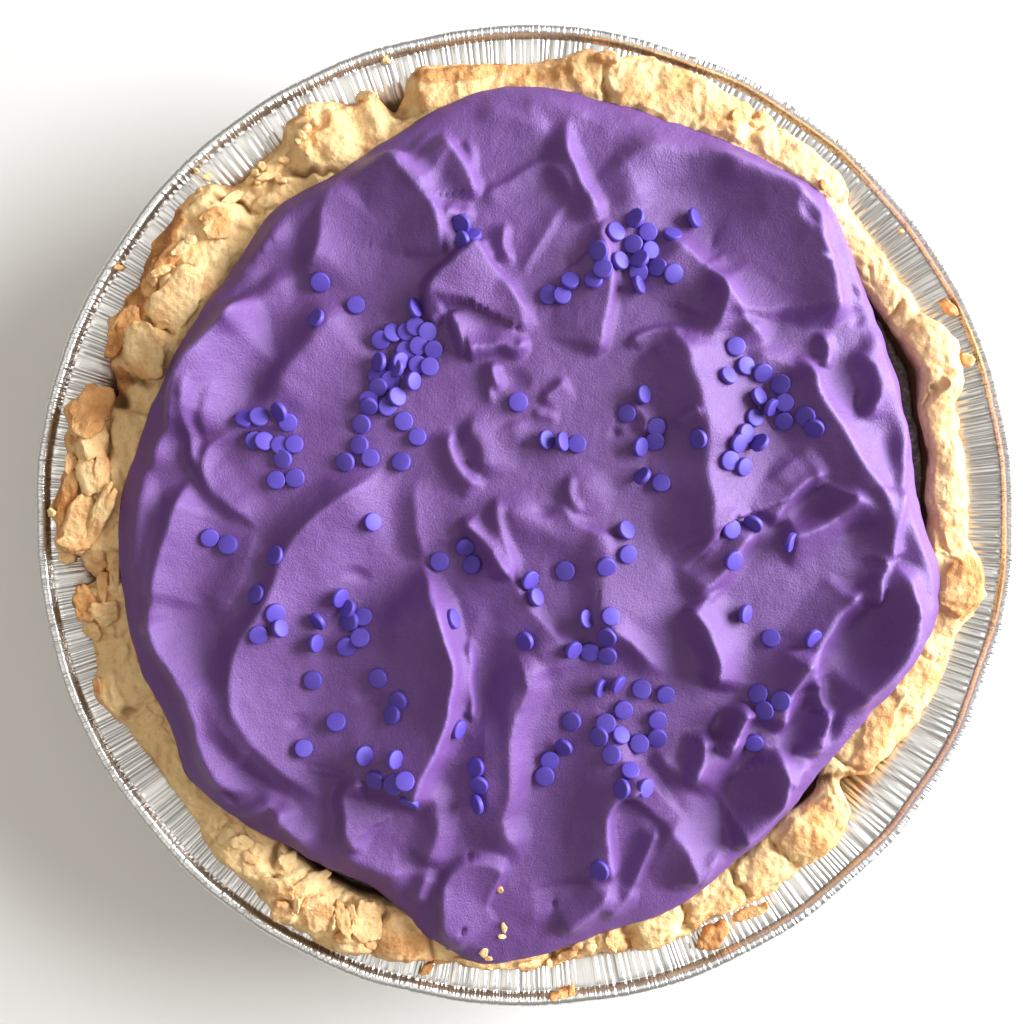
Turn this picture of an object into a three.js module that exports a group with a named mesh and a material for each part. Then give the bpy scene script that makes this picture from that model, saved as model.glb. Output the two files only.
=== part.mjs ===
// Ube pie in its own pleated foil tin: a flaky crust, a dark ube filling that shows
// where the topping pulls away from the crust, and whipped ube cream on top.
// Millimetres, +Z up. The origin is the middle of the tin's foot, on the table.

import * as THREE from 'three';
import { mergeVertices } from 'three/addons/utils/BufferGeometryUtils.js';

// Foil tin: the usual 9 inch pie tin, measured over the rolled bead.
const RIM_RADIUS = 111;
const TIN_HEIGHT = 31;
const BEAD_RADIUS = 1.5;
const SHELF_WIDTH = 1.6; // flat strip between the bead and the pleats
const SHELF_DROP = 2.6; // below the top of the bead
const FLOOR_RADIUS = 88;
const FOOT_ROUND = 1;
const FOIL = 0.5; // drawn thicker than the real foil, which is about 0.1
const PLEATS = 64; // each stands for about five of the real pleats
const PLEAT_DEPTH = 0.8;

// Crust: a lining of pastry with a thick uneven crown that stops short of the bead.
const GAP = 0.35; // kept between neighbouring pieces
const CRUST_THICKNESS = 5;
const CROWN_OUTER_HEIGHT = 25; // where the crown leaves the tin's wall
const CROWN_HEIGHT = 30.2;
const CROWN_INNER_RADIUS = 92.5;
const CROWN_UNEVENNESS = 0.9;

// Filling: level, just under the crown.
const FILLING_HEIGHT = 22.5;

// Cream: a broad low dome, worked with a spatula.
const CREAM_HEIGHT = 39;
const CREAM_EDGE_HEIGHT = 32.5;
const CREAM_EDGE_RADIUS = 91;
const CREAM_SHOULDER = 13; // width of the rounded edge
const CREAM_LIP = 1.6; // how far the edge bulges past its foot

const TIN_STEPS = PLEATS * 2;
const CRUST_STEPS = 120;
const FILLING_STEPS = 60;
const CREAM_STEPS = 90;
const CREAM_RINGS = 17;

const radians = THREE.MathUtils.degToRad;
const { lerp, smoothstep } = THREE.MathUtils;

// Sum of round swells along the edge, each given as its direction in degrees
// from +X, its half width in degrees and its height in mm.
const swells = (angle, list) => {
  let total = 0;
  for (const [direction, halfWidth, height] of list) {
    const away = Math.abs(THREE.MathUtils.euclideanModulo(angle - radians(direction) + Math.PI,
      2 * Math.PI) - Math.PI);
    total += height * Math.exp(-((away / radians(halfWidth)) ** 2));
  }
  return total;
};

// Small waves of hand-worked dough, the same in every build.
const dough = (angle, start) =>
  0.5 * Math.sin(7 * angle + start) + 0.35 * Math.sin(13 * angle + 2.3 * start)
  + 0.3 * Math.sin(19 * angle + 4.1 * start);

// The crown's outer edge rises and leans out at its folds and drops where a piece is gone.
const CROWN_OUTWARD = [
  [67, 9, 3.5], [118, 5, 3], [147, 6, 1.5], [176, 9, 4], [203, 6, 3], [243, 7, 4], [350, 7, 3],
  [20, 8, 2], [107, 4, -3], [162, 3.5, -4.5], [188, 3, -3.5], [322, 4, -4.5],
];
// The crown's inner edge, which the cream or the open gap meets.
const CROWN_INWARD = [
  [60, 28, 3.5], [88, 10, 2.5], [20, 8, 2.5], [195, 25, 2], [222, 8, 2], [265, 14, 3.5],
  [347, 10, 3], [145, 24, -4.5], [318, 12, -3.5],
];
const CROWN_RISE = [
  [77, 8, 1.6], [125, 12, 1.2], [145, 8, 0.8], [178, 14, 1.5], [244, 9, 1.4], [288, 4, 1.4],
  [352, 9, 1.2], [20, 12, 1],
];
// Creases where the dough is folded over or has broken: direction and half width in
// degrees, and how far the crown sinks there.
const CROWN_CREASES = [
  [80, 2.5, 1.6], [107, 4, 2], [133, 2.5, 1.4], [153, 2.5, 1.8], [162, 3.5, 2.2], [187, 3, 1.8],
  [232, 2.5, 1.6], [249, 2.5, 1.4], [284, 2.5, 1.4], [307, 3, 1.4], [321, 3.5, 2], [32, 3, 1.2],
];
// Where the cream runs out over the crown, and where it stays short of it.
const CREAM_OUTWARD = [
  [47, 10, 7.5], [62, 12, 3], [75, 14, 4], [90, 10, 4.5], [103, 8, 2.5], [120, 8, -1.5],
  [145, 16, -4.5], [185, 12, 1.5], [200, 12, 2], [217, 7, 4], [232, 10, 1.5], [259, 7, 5],
  [267, 8, 7], [282, 8, 4], [292, 7, 3], [318, 12, -2.2], [345, 8, 5], [354, 6, 2.5], [8, 14, -2],
];

// Spatula ridges: their course over the pie, height and half width in mm.
const RIDGES = [
  { course: [[-43, 69], [-47, 56]], height: 2.5, halfWidth: 6 },
  { course: [[-58, 50], [-73, 34], [-80, 17]], height: 3, halfWidth: 6 },
  { course: [[-29, 80], [-20, 70], [-18, 54]], height: 3.5, halfWidth: 5 },
  { course: [[-18, 84], [-11, 71]], height: 2.5, halfWidth: 4 },
  { course: [[-10, 58], [-1, 47], [-2, 37]], height: 4, halfWidth: 4.5 },
  { course: [[10, 89], [10, 79], [18, 69]], height: 3.5, halfWidth: 5 },
  { course: [[19, 57], [16, 33]], height: 3, halfWidth: 4.5 },
  { course: [[42, 50], [58, 35], [72, 18], [80, -8]], height: 4, halfWidth: 6 },
  { course: [[47, 77], [62, 70], [70, 42]], height: 3, halfWidth: 5 },
  { course: [[35, 38], [41, 10], [43, -3]], height: 4.5, halfWidth: 6 },
  { course: [[-29, 13], [-49, -2], [-60, -28], [-57, -50], [-43, -64]], height: 3.5, halfWidth: 5 },
  { course: [[-73, 8], [-80, -5], [-83, -25], [-74, -38], [-60, -56]], height: 3, halfWidth: 5 },
  { course: [[-22, -9], [-16, -32], [-20, -50], [-25, -66]], height: 5, halfWidth: 6 },
  { course: [[-2, -18], [-1, -34], [-4, -58], [2, -80]], height: 4.5, halfWidth: 5 },
  { course: [[30, -55], [19, -65], [18, -84]], height: 3.5, halfWidth: 5 },
  { course: [[52, -6], [36, -19], [43, -30], [39, -41]], height: 3.5, halfWidth: 5.5 },
  { course: [[72, -20], [62, -35], [54, -50], [57, -63], [43, -75]], height: 3.5, halfWidth: 5 },
];

// Hollows pressed by the spatula: middle, half sizes along and across, turn and depth.
const HOLLOWS = [
  { middle: [47, 62], along: 24, across: 15, turn: -42, depth: 3 },
  { middle: [-32, -27], along: 32, across: 12, turn: 84, depth: 3 },
  { middle: [30, 10], along: 24, across: 9, turn: 88, depth: 2.5 },
  { middle: [8, -62], along: 20, across: 8, turn: 84, depth: 3 },
  { middle: [47, -62], along: 10, across: 8, turn: 60, depth: 3.5 },
  { middle: [73, -32], along: 12, across: 6, turn: 65, depth: 3 },
];

// Turns a section, given for each direction, into a closed body round the Z axis.
const bodyOfSections = (sectionAt, steps) => {
  const template = sectionAt(0);
  const geometry = new THREE.LatheGeometry(template.map(([r, z]) => new THREE.Vector2(r, z)), steps);
  const place = geometry.attributes.position;
  for (let step = 0; step <= steps; step++) {
    const angle = (step % steps) * 2 * Math.PI / steps;
    sectionAt(angle, step % steps).forEach(([r, z], row) => {
      place.setXYZ(step * template.length + row, r * Math.cos(angle), r * Math.sin(angle), z);
    });
  }
  geometry.deleteAttribute('normal');
  geometry.deleteAttribute('uv');
  return mergeVertices(geometry, 1e-3);
};

// --- Foil tin ---

const WALL_TOP = TIN_HEIGHT - SHELF_DROP;
const WALL_TOP_RADIUS = RIM_RADIUS - 2 * BEAD_RADIUS - SHELF_WIDTH;
const wallRadius = (z) => lerp(FLOOR_RADIUS, WALL_TOP_RADIUS, (z - FOOT_ROUND) / (WALL_TOP - FOOT_ROUND));

const BEAD_TURNS = [-110, -55, 0, 45, 90, 150];

const tinSection = (angle, step = 0) => {
  const pleat = step % 2 === 0 ? PLEAT_DEPTH / 2 : -PLEAT_DEPTH / 2;
  const beadMiddle = RIM_RADIUS - BEAD_RADIUS;
  const bead = BEAD_TURNS.map((turn) => [
    beadMiddle + BEAD_RADIUS * Math.cos(radians(turn)),
    TIN_HEIGHT - BEAD_RADIUS + BEAD_RADIUS * Math.sin(radians(turn)),
  ]);
  return [
    [0, 0],
    [FLOOR_RADIUS - FOOT_ROUND, 0],
    [FLOOR_RADIUS, FOOT_ROUND],
    [WALL_TOP_RADIUS + pleat, WALL_TOP - FOIL],
    ...bead,
    [WALL_TOP_RADIUS + SHELF_WIDTH / 2, WALL_TOP + FOIL],
    [WALL_TOP_RADIUS + pleat - FOIL, WALL_TOP],
    [FLOOR_RADIUS - FOIL, FOOT_ROUND + FOIL / 2],
    [FLOOR_RADIUS - FOOT_ROUND - FOIL / 2, FOIL],
    [0, FOIL],
  ];
};

// --- Crust ---

const crownHeight = (angle) =>
  CROWN_HEIGHT + swells(angle, CROWN_RISE) - swells(angle, CROWN_CREASES)
  + CROWN_UNEVENNESS * dough(angle, 1);
const crownInner = (angle) =>
  CROWN_INNER_RADIUS + swells(angle, CROWN_INWARD) + 0.6 * dough(angle, 2);
// The room inside the pleats.
const liningRadius = (z) => wallRadius(z) - FOIL - PLEAT_DEPTH / 2 - GAP - 0.2;

const CRUST_BOTTOM = FOIL + GAP;
const CRUST_FLOOR = CRUST_BOTTOM + CRUST_THICKNESS;
const CRUST_FLOOR_RADIUS = liningRadius(CRUST_FLOOR) - CRUST_THICKNESS - 2;

const crustSection = (angle) => {
  const top = crownHeight(angle);
  const inner = crownInner(angle);
  const lift = 0.7 * swells(angle, CROWN_OUTWARD) + CROWN_UNEVENNESS * dough(angle, 3);
  const edge = CROWN_OUTER_HEIGHT + lift;
  const outer = liningRadius(edge);
  return [
    [0, CRUST_BOTTOM],
    [FLOOR_RADIUS - 3 * FOOT_ROUND, CRUST_BOTTOM],
    [liningRadius(CRUST_BOTTOM + 1.5), CRUST_BOTTOM + 1.5],
    [outer, edge],
    [outer - 0.6, lerp(edge, top, 0.6)],
    [lerp(outer, inner, 0.35), top],
    [lerp(outer, inner, 0.7), top - 0.3],
    [inner + 0.8, top - 1.6],
    [inner, FILLING_HEIGHT + 2.5],
    [inner - 1.5, FILLING_HEIGHT],
    [CRUST_FLOOR_RADIUS, CRUST_FLOOR],
    [0, CRUST_FLOOR],
  ];
};

// --- Filling ---

const fillingSection = (angle) => {
  const bottom = CRUST_FLOOR + GAP;
  const edge = crownInner(angle) - 1.5 - 2 * GAP;
  return [
    [0, bottom],
    [CRUST_FLOOR_RADIUS - 2 * GAP, bottom],
    [edge, FILLING_HEIGHT - 0.4],
    [edge - 1.5, FILLING_HEIGHT],
    [0, FILLING_HEIGHT],
  ];
};

// --- Whipped cream ---

const distanceToCourse = (x, y, course) => {
  let nearest = Infinity;
  for (let k = 1; k < course.length; k++) {
    const [ax, ay] = course[k - 1];
    const [bx, by] = course[k];
    const along = THREE.MathUtils.clamp(
      ((x - ax) * (bx - ax) + (y - ay) * (by - ay)) / ((bx - ax) ** 2 + (by - ay) ** 2), 0, 1);
    nearest = Math.min(nearest, Math.hypot(x - lerp(ax, bx, along), y - lerp(ay, by, along)));
  }
  return nearest;
};

const spatulaRelief = (x, y) => {
  let relief = 0;
  for (const { course, height, halfWidth } of RIDGES) {
    relief += height * Math.exp(-((distanceToCourse(x, y, course) / halfWidth) ** 2));
  }
  for (const { middle, along, across, turn, depth } of HOLLOWS) {
    const dx = x - middle[0];
    const dy = y - middle[1];
    const u = (dx * Math.cos(radians(turn)) + dy * Math.sin(radians(turn))) / along;
    const v = (dy * Math.cos(radians(turn)) - dx * Math.sin(radians(turn))) / across;
    relief -= depth * Math.exp(-(u * u + v * v));
  }
  return relief;
};

const creamSection = (angle) => {
  const edge = CREAM_EDGE_RADIUS + swells(angle, CREAM_OUTWARD);
  const inner = crownInner(angle);
  const crownTop = crownHeight(angle) + 2 * GAP;
  const overCrown = smoothstep(edge, inner - 2, inner + 2);
  const foot = Math.min(edge - CREAM_LIP, lerp(inner - 3.5, edge - CREAM_LIP, overCrown));
  const footHeight = lerp(FILLING_HEIGHT + 3, crownTop, overCrown);
  const section = [
    [0, FILLING_HEIGHT + GAP],
    [inner - 6, FILLING_HEIGHT + GAP],
    [Math.min(inner - 1.5, foot - 0.8), lerp(FILLING_HEIGHT + 1.5, crownTop, overCrown)],
    [foot, footHeight],
    [edge, Math.max(footHeight + 1.5, CREAM_EDGE_HEIGHT - 1.5)],
  ];
  for (let ring = 0; ring <= CREAM_RINGS; ring++) {
    const radius = (edge - 0.5) * (1 - ring / CREAM_RINGS);
    const shoulder = Math.min(1, (edge - radius) / CREAM_SHOULDER);
    const dome = lerp(CREAM_EDGE_HEIGHT, CREAM_HEIGHT, Math.sqrt(1 - (1 - shoulder) ** 2));
    const relief = spatulaRelief(radius * Math.cos(angle), radius * Math.sin(angle));
    section.push([radius, dome + relief * lerp(0.15, 1, shoulder)]);
  }
  return section;
};

// --- The pie ---

const foil = new THREE.MeshStandardMaterial({ color: 0xc9c8c4, roughness: 0.25, metalness: 1 });
const pastry = new THREE.MeshStandardMaterial({ color: 0xe3c383, roughness: 0.8, metalness: 0 });
const ube = new THREE.MeshStandardMaterial({ color: 0x4a3d4a, roughness: 0.8, metalness: 0 });
const cream = new THREE.MeshStandardMaterial({ color: 0x7d569c, roughness: 0.6, metalness: 0 });

const pie = new THREE.Group();
const addPiece = (name, sectionAt, steps, material) => {
  const piece = new THREE.Mesh(bodyOfSections(sectionAt, steps), material);
  piece.name = name;
  pie.add(piece);
};
addPiece('foil_tin', tinSection, TIN_STEPS, foil);
addPiece('pie_crust', crustSection, CRUST_STEPS, pastry);
addPiece('ube_filling', fillingSection, FILLING_STEPS, ube);
addPiece('whipped_cream', creamSection, CREAM_STEPS, cream);

export default pie;
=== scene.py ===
import math

import bmesh
import bpy
import numpy as np
from mathutils import Matrix, Vector


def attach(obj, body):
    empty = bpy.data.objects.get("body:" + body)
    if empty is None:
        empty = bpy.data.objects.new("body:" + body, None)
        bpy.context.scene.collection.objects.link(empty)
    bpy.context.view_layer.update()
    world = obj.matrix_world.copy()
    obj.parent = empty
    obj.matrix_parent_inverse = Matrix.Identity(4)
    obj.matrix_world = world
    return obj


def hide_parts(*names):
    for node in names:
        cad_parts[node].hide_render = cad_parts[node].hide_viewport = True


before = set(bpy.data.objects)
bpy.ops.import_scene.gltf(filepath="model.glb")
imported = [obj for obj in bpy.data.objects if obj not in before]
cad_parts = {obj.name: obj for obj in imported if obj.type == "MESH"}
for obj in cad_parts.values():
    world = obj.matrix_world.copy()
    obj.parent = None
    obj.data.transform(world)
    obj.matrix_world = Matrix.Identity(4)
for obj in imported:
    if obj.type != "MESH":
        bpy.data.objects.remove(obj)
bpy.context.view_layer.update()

# Camera of the photograph: it looks straight down from above the pie
CAMERA_MM = (-3.1, 0.9, 286.8)
FOCAL_PX = 1122.0
PICTURE_PX = (1023, 1024)

# Heights above the table, in mm, at which lengths in the photograph are read
CROWN_HEIGHT = 31
CRUST_EDGE_HEIGHT = 30.2
CRUST_INNER_HEIGHT = 28
CREAM_EDGE_HEIGHT = 32.0

# Tin: the CAD part's height and floor, with the bead as far out as the photograph shows it
TIN_HEIGHT = 31.0
BEAD_RADIUS = 1.3
BEAD_MIDDLE = 111.0
FLOOR_RADIUS = 88.0
# Inner face of the tin's wall: height and distance from the middle. It flares out at the top.
WALL = [(0.9, 87.8), (5, 90.0), (11, 93.0), (17, 95.8), (22, 98.0), (25, 99.7), (26.7, 101.6),
        (27.6, 103.6), (28.3, 105.6), (28.9, 107.9)]


def wall_radius(z):
    return np.interp(z, *zip(*WALL))


# --- Small helpers ---

def cos_sin(degrees):
    return math.cos(math.radians(degrees)), math.sin(math.radians(degrees))


def smooth(low, high, value):
    """0 below low, 1 above high, with an even start and end."""
    t = np.clip((value - low) / (high - low), 0, 1)
    return t * t * (3 - 2 * t)


def quarter_round(t):
    """Rises from 0 to 1 as a quarter of a circle does."""
    return np.sqrt(1 - (1 - t) ** 2)


def swells(x, y, size, seed):
    """Smooth random swells about size mm across, from -1 to 1."""
    cells = 64
    table = np.random.default_rng(seed).uniform(-1, 1, (cells, cells))
    u, v = x / size, y / size
    i, j = np.floor(u).astype(int), np.floor(v).astype(int)
    fu, fv = u - i, v - j
    fu, fv = fu * fu * (3 - 2 * fu), fv * fv * (3 - 2 * fv)
    i, j, next_i, next_j = i % cells, j % cells, (i + 1) % cells, (j + 1) % cells
    low = table[i, j] * (1 - fu) + table[next_i, j] * fu
    high = table[i, next_j] * (1 - fu) + table[next_i, next_j] * fu
    return low * (1 - fv) + high * fv


def round_table(stops, degrees):
    """Value at each direction of a closed table {degrees: value}, on a smooth curve through it."""
    angles = np.array(sorted(stops), float)
    values = np.array([stops[a] for a in angles], float)
    angles = np.concatenate([angles[-2:] - 360, angles, angles[:2] + 360])
    values = np.concatenate([values[-2:], values, values[:2]])
    rise = np.diff(values) / np.diff(angles)
    slopes = np.concatenate([rise[:1], (rise[1:] + rise[:-1]) / 2, rise[-1:]])
    degrees = np.asarray(degrees, float) % 360
    k = np.clip(np.searchsorted(angles, degrees, "right") - 1, 0, len(angles) - 2)
    span = angles[k + 1] - angles[k]
    t = (degrees - angles[k]) / span
    return ((1 + 2 * t) * (1 - t) ** 2 * values[k] + t * (1 - t) ** 2 * span * slopes[k]
            + t * t * (3 - 2 * t) * values[k + 1] - t * t * (1 - t) * span * slopes[k + 1])


def px_to_mm(pixels, height):
    """Length in mm of a distance in the photograph, at that height above the table."""
    return pixels * (CAMERA_MM[2] - height) / FOCAL_PX


def place(across, down, height):
    """Where the point at (across, down) in the photograph is, at that height."""
    x = CAMERA_MM[0] + px_to_mm(across - PICTURE_PX[0] / 2, height)
    y = CAMERA_MM[1] - px_to_mm(down - PICTURE_PX[1] / 2, height)
    return x, y


def wrapped(rows, steps):
    """A grid to be bent round the Z axis: which step round it and which row each vertex is in."""
    bm = bmesh.new()
    bmesh.ops.create_grid(bm, x_segments=steps, y_segments=rows - 1, size=1)
    co = np.array([v.co for v in bm.verts])
    step = np.round((co[:, 0] + 1) / 2 * steps).astype(int)
    return bm, step, np.round((co[:, 1] + 1) / 2 * (rows - 1)).astype(int)


def with_rows(r, z, row, first, section):
    """Distances and heights with the rows from the first one on set to this section's, whose points
    are numbers or have a value at each vertex."""
    for k, (radius, height) in enumerate(section, first):
        r = np.where(row == k, radius, r)
        z = np.where(row == k, height, z)
    return r, z


def close_up(bm, step, row):
    """Joins the two ends of a grid bent right round, and the points on the axis."""
    seam = (step == 0) | (step == step.max()) | (row == 0) | (row == row.max())
    bmesh.ops.remove_doubles(bm, verts=[v for v, joined in zip(bm.verts, seam) if joined], dist=1e-6)


def move(bm, x, y, z):
    """Moves the vertices to these places, in mm."""
    for v, co in zip(bm.verts, np.stack([x, y, z], 1) / 1000):
        v.co = co


def mark(bm, name, values):
    """Keeps a number at each vertex for the material."""
    layer = bm.verts.layers.float.new(name)
    for v, value in zip(bm.verts, values):
        v[layer] = value


def piece(bm, name, material, node=None):
    """Turns the finished shape into an object. One with a node rides on the pie's one body."""
    bmesh.ops.recalc_face_normals(bm, faces=bm.faces)
    for face in bm.faces:
        face.smooth = True
    mesh = bpy.data.meshes.new(name)
    bm.to_mesh(mesh)
    bm.free()
    mesh.materials.append(material)
    made = bpy.data.objects.new(name, mesh)
    bpy.context.scene.collection.objects.link(made)
    if node:
        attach(made, "root")
        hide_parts(node)
    return made


def colour(code):
    """Linear colour of an sRGB hex code."""
    parts = [int(code[i:i + 2], 16) / 255 for i in (1, 3, 5)]
    return (*[c / 12.92 if c <= 0.04045 else ((c + 0.055) / 1.055) ** 2.4 for c in parts], 1)


def new_material(name):
    material = bpy.data.materials.new(name)
    material.use_nodes = True
    tree = material.node_tree
    tree.nodes.clear()
    return material, tree


def add(tree, kind, settings=(), links=()):
    """Adds a shader node. Settings are its own properties or its sockets' values, and links are
    the outputs that its sockets read."""
    made = tree.nodes.new("ShaderNode" + kind)
    for key, value in dict(settings).items():
        if key == "stops":
            ramp = made.color_ramp
            while len(ramp.elements) < len(value):
                ramp.elements.new(1)
            for element, (position, shade) in zip(ramp.elements, value):
                element.position, element.color = position, shade
        elif isinstance(key, int) or key in made.inputs:
            made.inputs[key].default_value = value
        else:
            setattr(made, key, value)
    for key, source in dict(links).items():
        tree.links.new(source, made.inputs[key])
    return made


def every_mm(size):
    """Texture scale, in Object coordinates, of a pattern this many mm across."""
    return 1000 / size


# --- Foil tin ---
# Disposable aluminium: bright, smooth, thin foil, pressed into sharp narrow pleats.

FOIL = 0.25
PLEATS = 430
# One pleat: where its corners are, as a share of its width, and how far out each one stands
PLEAT_CORNERS = np.array([0.0, 0.16, 0.5, 0.84])
PLEAT_RELIEF = np.array([-1.0, 0.7, 1.0, 0.5])
# Share of the pleats that are twice as wide
WIDE_PLEATS = 0.12
# How far the pleats and the rim's fine crimps stand out sideways and, on the flange, upwards
PLEAT_DEPTH = 0.4
PLEAT_RISE = 0.5
CRIMP_DEPTH = 0.07
CRIMP_RISE = 0.05
CRIMP_SPACING = 0.9
# How far the rim wanders in and out
RIM_SLACK = 0.35
# Where round the bead's section its rows are, in degrees
BEAD_TURNS = (170, 140, 112, 84, 56, 28, 0, -30, -70, -110, -150)


def tin_section():
    """The tin's section from the middle of its floor, up the inside, over the bead and back below,
    as rows of distance from the middle, height, share of the pleats and share of the crimps; and
    how many of them come before the bead."""
    inner = [(0, 0.4, 0, 0), (FLOOR_RADIUS - 1.5, 0.4, 0, 0)]
    inner += [(r, z, min(1, z / 12), 0) for z, r in WALL]
    inner += [(109.0, 29.15, 0.6, 0.5), (109.5, 29.1, 0.3, 1)]
    turns = [cos_sin(degrees) for degrees in BEAD_TURNS]
    bead = [(BEAD_MIDDLE + BEAD_RADIUS * c, TIN_HEIGHT - BEAD_RADIUS + BEAD_RADIUS * s, 0.12, 1)
            for c, s in turns]
    outer = [(r + FOIL * 0.8, z - FOIL, p, c) for r, z, p, c in reversed(inner[2:-1])]
    outer += [(FLOOR_RADIUS - 1.2, 0, 0, 0), (0, 0, 0, 0)]
    return np.array(inner + bead + outer), len(inner)


def tin_shape():
    """The pleated tin with its crimped rolled bead, as one closed body of thin foil."""
    chance = np.random.default_rng(11)
    widths = chance.uniform(0.45, 1.3, PLEATS)
    widths = widths * np.where(chance.random(PLEATS) < WIDE_PLEATS, 2.0, 1.0)
    widths /= widths.sum()
    starts = np.concatenate([[0], np.cumsum(widths)[:-1]])
    angles = (starts[:, None] + PLEAT_CORNERS * widths[:, None]).ravel() * math.tau
    height = chance.uniform(0.25, 1.0, PLEATS)
    lean = chance.uniform(-0.45, 0.45, PLEATS)
    slant = np.linspace(-1, 1, len(PLEAT_CORNERS))
    pleat = (PLEAT_RELIEF * height[:, None] + lean[:, None] * slant).ravel()
    steps = len(angles)
    crimp = chance.uniform(-1, 1, steps)

    section, rows_before_bead = tin_section()
    bm, step, row = wrapped(len(section), steps)
    around = step % steps
    angle = angles[around]
    r, z, pleated, crimped = section[row].T
    flare = smooth(22, 28, z)
    fold = pleat[around] * pleated
    outwards = np.where(r > BEAD_MIDDLE, -1, 1 - 0.6 * flare)
    slack = RIM_SLACK * swells(9 * np.cos(angle), 9 * np.sin(angle), 1, 12) * crimped
    r_moved = r - PLEAT_DEPTH * fold * outwards + CRIMP_DEPTH * crimped * crimp[around] + slack
    z_moved = z + PLEAT_RISE * flare * fold + CRIMP_RISE * crimped * crimp[(step + 7) % steps]
    move(bm, r_moved * np.cos(angle), r_moved * np.sin(angle), np.maximum(z_moved, 0))
    # painted shade along the groove between the bead and the pleats
    mark(bm, "groove", smooth(1.0, 0.4, abs(row - rows_before_bead + 0.8)))
    mark(bm, "crimped", np.maximum(crimped, 0.45 * flare))
    close_up(bm, step, row)
    return bm


def foil_material():
    material, tree = new_material("aluminium_foil")
    spot = add(tree, "TexCoord").outputs["Object"]
    rolled = add(tree, "TexNoise", {"Scale": every_mm(9), "Detail": 3, "Roughness": 0.6},
                 {"Vector": spot})
    bump = add(tree, "Bump", {"Strength": 0.3, "Distance": 0.0010},
               {"Height": rolled.outputs["Fac"]})
    # crimps across the rim: a pattern on the direction from the middle
    parts = add(tree, "SeparateXYZ", {}, {"Vector": spot})
    turn = add(tree, "Math", {"operation": "ARCTAN2"},
               {0: parts.outputs["Y"], 1: parts.outputs["X"]})
    crimps = add(tree, "TexNoise",
                 {"noise_dimensions": "1D", "Scale": 110 / CRIMP_SPACING, "Detail": 2,
                  "Roughness": 0.7}, {"W": turn.outputs[0]})
    crimped = add(tree, "Attribute", {"attribute_name": "crimped"})
    press = add(tree, "Math", {"operation": "MULTIPLY"},
                {0: crimps.outputs["Fac"], 1: crimped.outputs["Fac"]})
    fine = add(tree, "Bump", {"Strength": 0.7, "Distance": 0.0006},
               {"Height": press.outputs[0], "Normal": bump.outputs["Normal"]})
    # painted shade: the groove is tinted a darker brownish grey
    groove = add(tree, "Attribute", {"attribute_name": "groove"})
    tint = add(tree, "Mix",
               {"data_type": "RGBA", 6: colour("#e6e5e2"), 7: colour("#a8998a")},
               {0: groove.outputs["Fac"]})
    shader = add(tree, "BsdfPrincipled", {"Metallic": 1, "Roughness": 0.3},
                 {"Base Color": tint.outputs[2], "Normal": fine.outputs["Normal"]})
    add(tree, "OutputMaterial", {}, {"Surface": shader.outputs["BSDF"]})
    return material


TIN = piece(tin_shape(), "tin", foil_material(), "foil_tin")


# --- Crust ---
# Home-made shortcrust: dry, matte, pale gold, browner where it is thin or stands proud.

CRUST_STEPS = 1200
CRUST_TOP_ROWS = 46
CRUST_FLOOR = 5.85
# Height of the crown's edge where it drops inside the wall, and where it rests on the tin's flange,
# which it reaches between these distances from the middle
EDGE_IN_WALL = 27.4
EDGE_ON_FLANGE = 30.1
FLANGE_REACH = (103.0, 105.2)
# The crown's rounding: rise at its outer edge and in its middle, and drop at its inner edge
OUTER_RISE = 1.9
MIDDLE_RISE = 0.9
INNER_DROP = 1.8
# Rows before the top: the floor, then out and up along the wall, as distance and height
LINING = [(0, 0.85), (FLOOR_RADIUS - 3, 0.85), (wall_radius(2.4) - 1.3, 2.4),
          (wall_radius(10) - 1.3, 10), (wall_radius(20) - 1.5, 20)]
# then out below the overhang, as a share of its width
OVERHANG = [0.0, 0.35, 0.75, 0.97]
# Rows after the top: down the inner side, as mm inwards and height, then across the floor
INNER_SIDE = [(0, 27.2), (-0.6, 25), (0.6, 22.2), (3.4, 15)]
FLOOR_ROWS = [FLOOR_RADIUS - 11, 0]

# Outer edge of the crust: direction in degrees, pixels from the middle of the tin
CRUST_OUTER = {
    0: 446, 8: 446, 14: 447, 17: 458, 20: 462, 24: 461, 27: 450, 31: 447, 38: 446, 43: 449, 46: 462,
    52: 466, 58: 466, 64: 470, 70: 473, 77: 472, 79.6: 466, 81: 470, 83: 468, 86: 457, 92: 454,
    100: 457, 105: 452, 106.5: 434, 108.5: 432, 109.5: 449, 113: 451, 117: 462, 121: 461, 124: 447,
    128: 446, 131: 441, 133.5: 458, 139: 459, 146: 458, 149: 454, 152: 455, 156: 457, 160: 444,
    162: 428, 164.3: 430, 165.5: 464, 169: 463, 173: 460, 177: 466, 179.5: 475, 181: 468, 184: 466,
    186: 440, 188.3: 436, 189.5: 456, 193: 455, 197: 452, 200: 456, 203: 464, 206: 457, 210: 450,
    216: 448, 222: 450, 227: 457, 232: 461, 234: 460, 237: 470, 242: 472, 247: 474, 250: 466, 253: 465,
    257: 458, 260: 455, 266: 457, 272: 455, 276: 450, 283: 449, 285: 453, 290: 451, 293: 447, 299: 448,
    301: 451, 307: 451, 312: 455, 316: 449, 318: 440, 319.5: 417, 321.3: 420, 323: 432, 326: 437,
    330: 442, 335: 449, 341: 449, 347: 455, 351: 463, 354: 458, 357: 447,
}
# Inner edge, which shows where the cream stops short of it
CRUST_INNER = {
    0: 401, 7: 406, 12: 407, 16: 409, 20: 414, 25: 412, 30: 409, 34: 404, 38: 402, 45: 405, 60: 405,
    80: 402, 95: 400, 110: 385, 125: 380, 140: 376, 160: 376, 180: 388, 200: 395, 217: 400, 236: 404,
    241: 409, 246: 409, 250: 404, 260: 405, 280: 400, 300: 402, 310: 396, 317: 397, 322: 382, 330: 385,
    345: 400,
}
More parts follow.
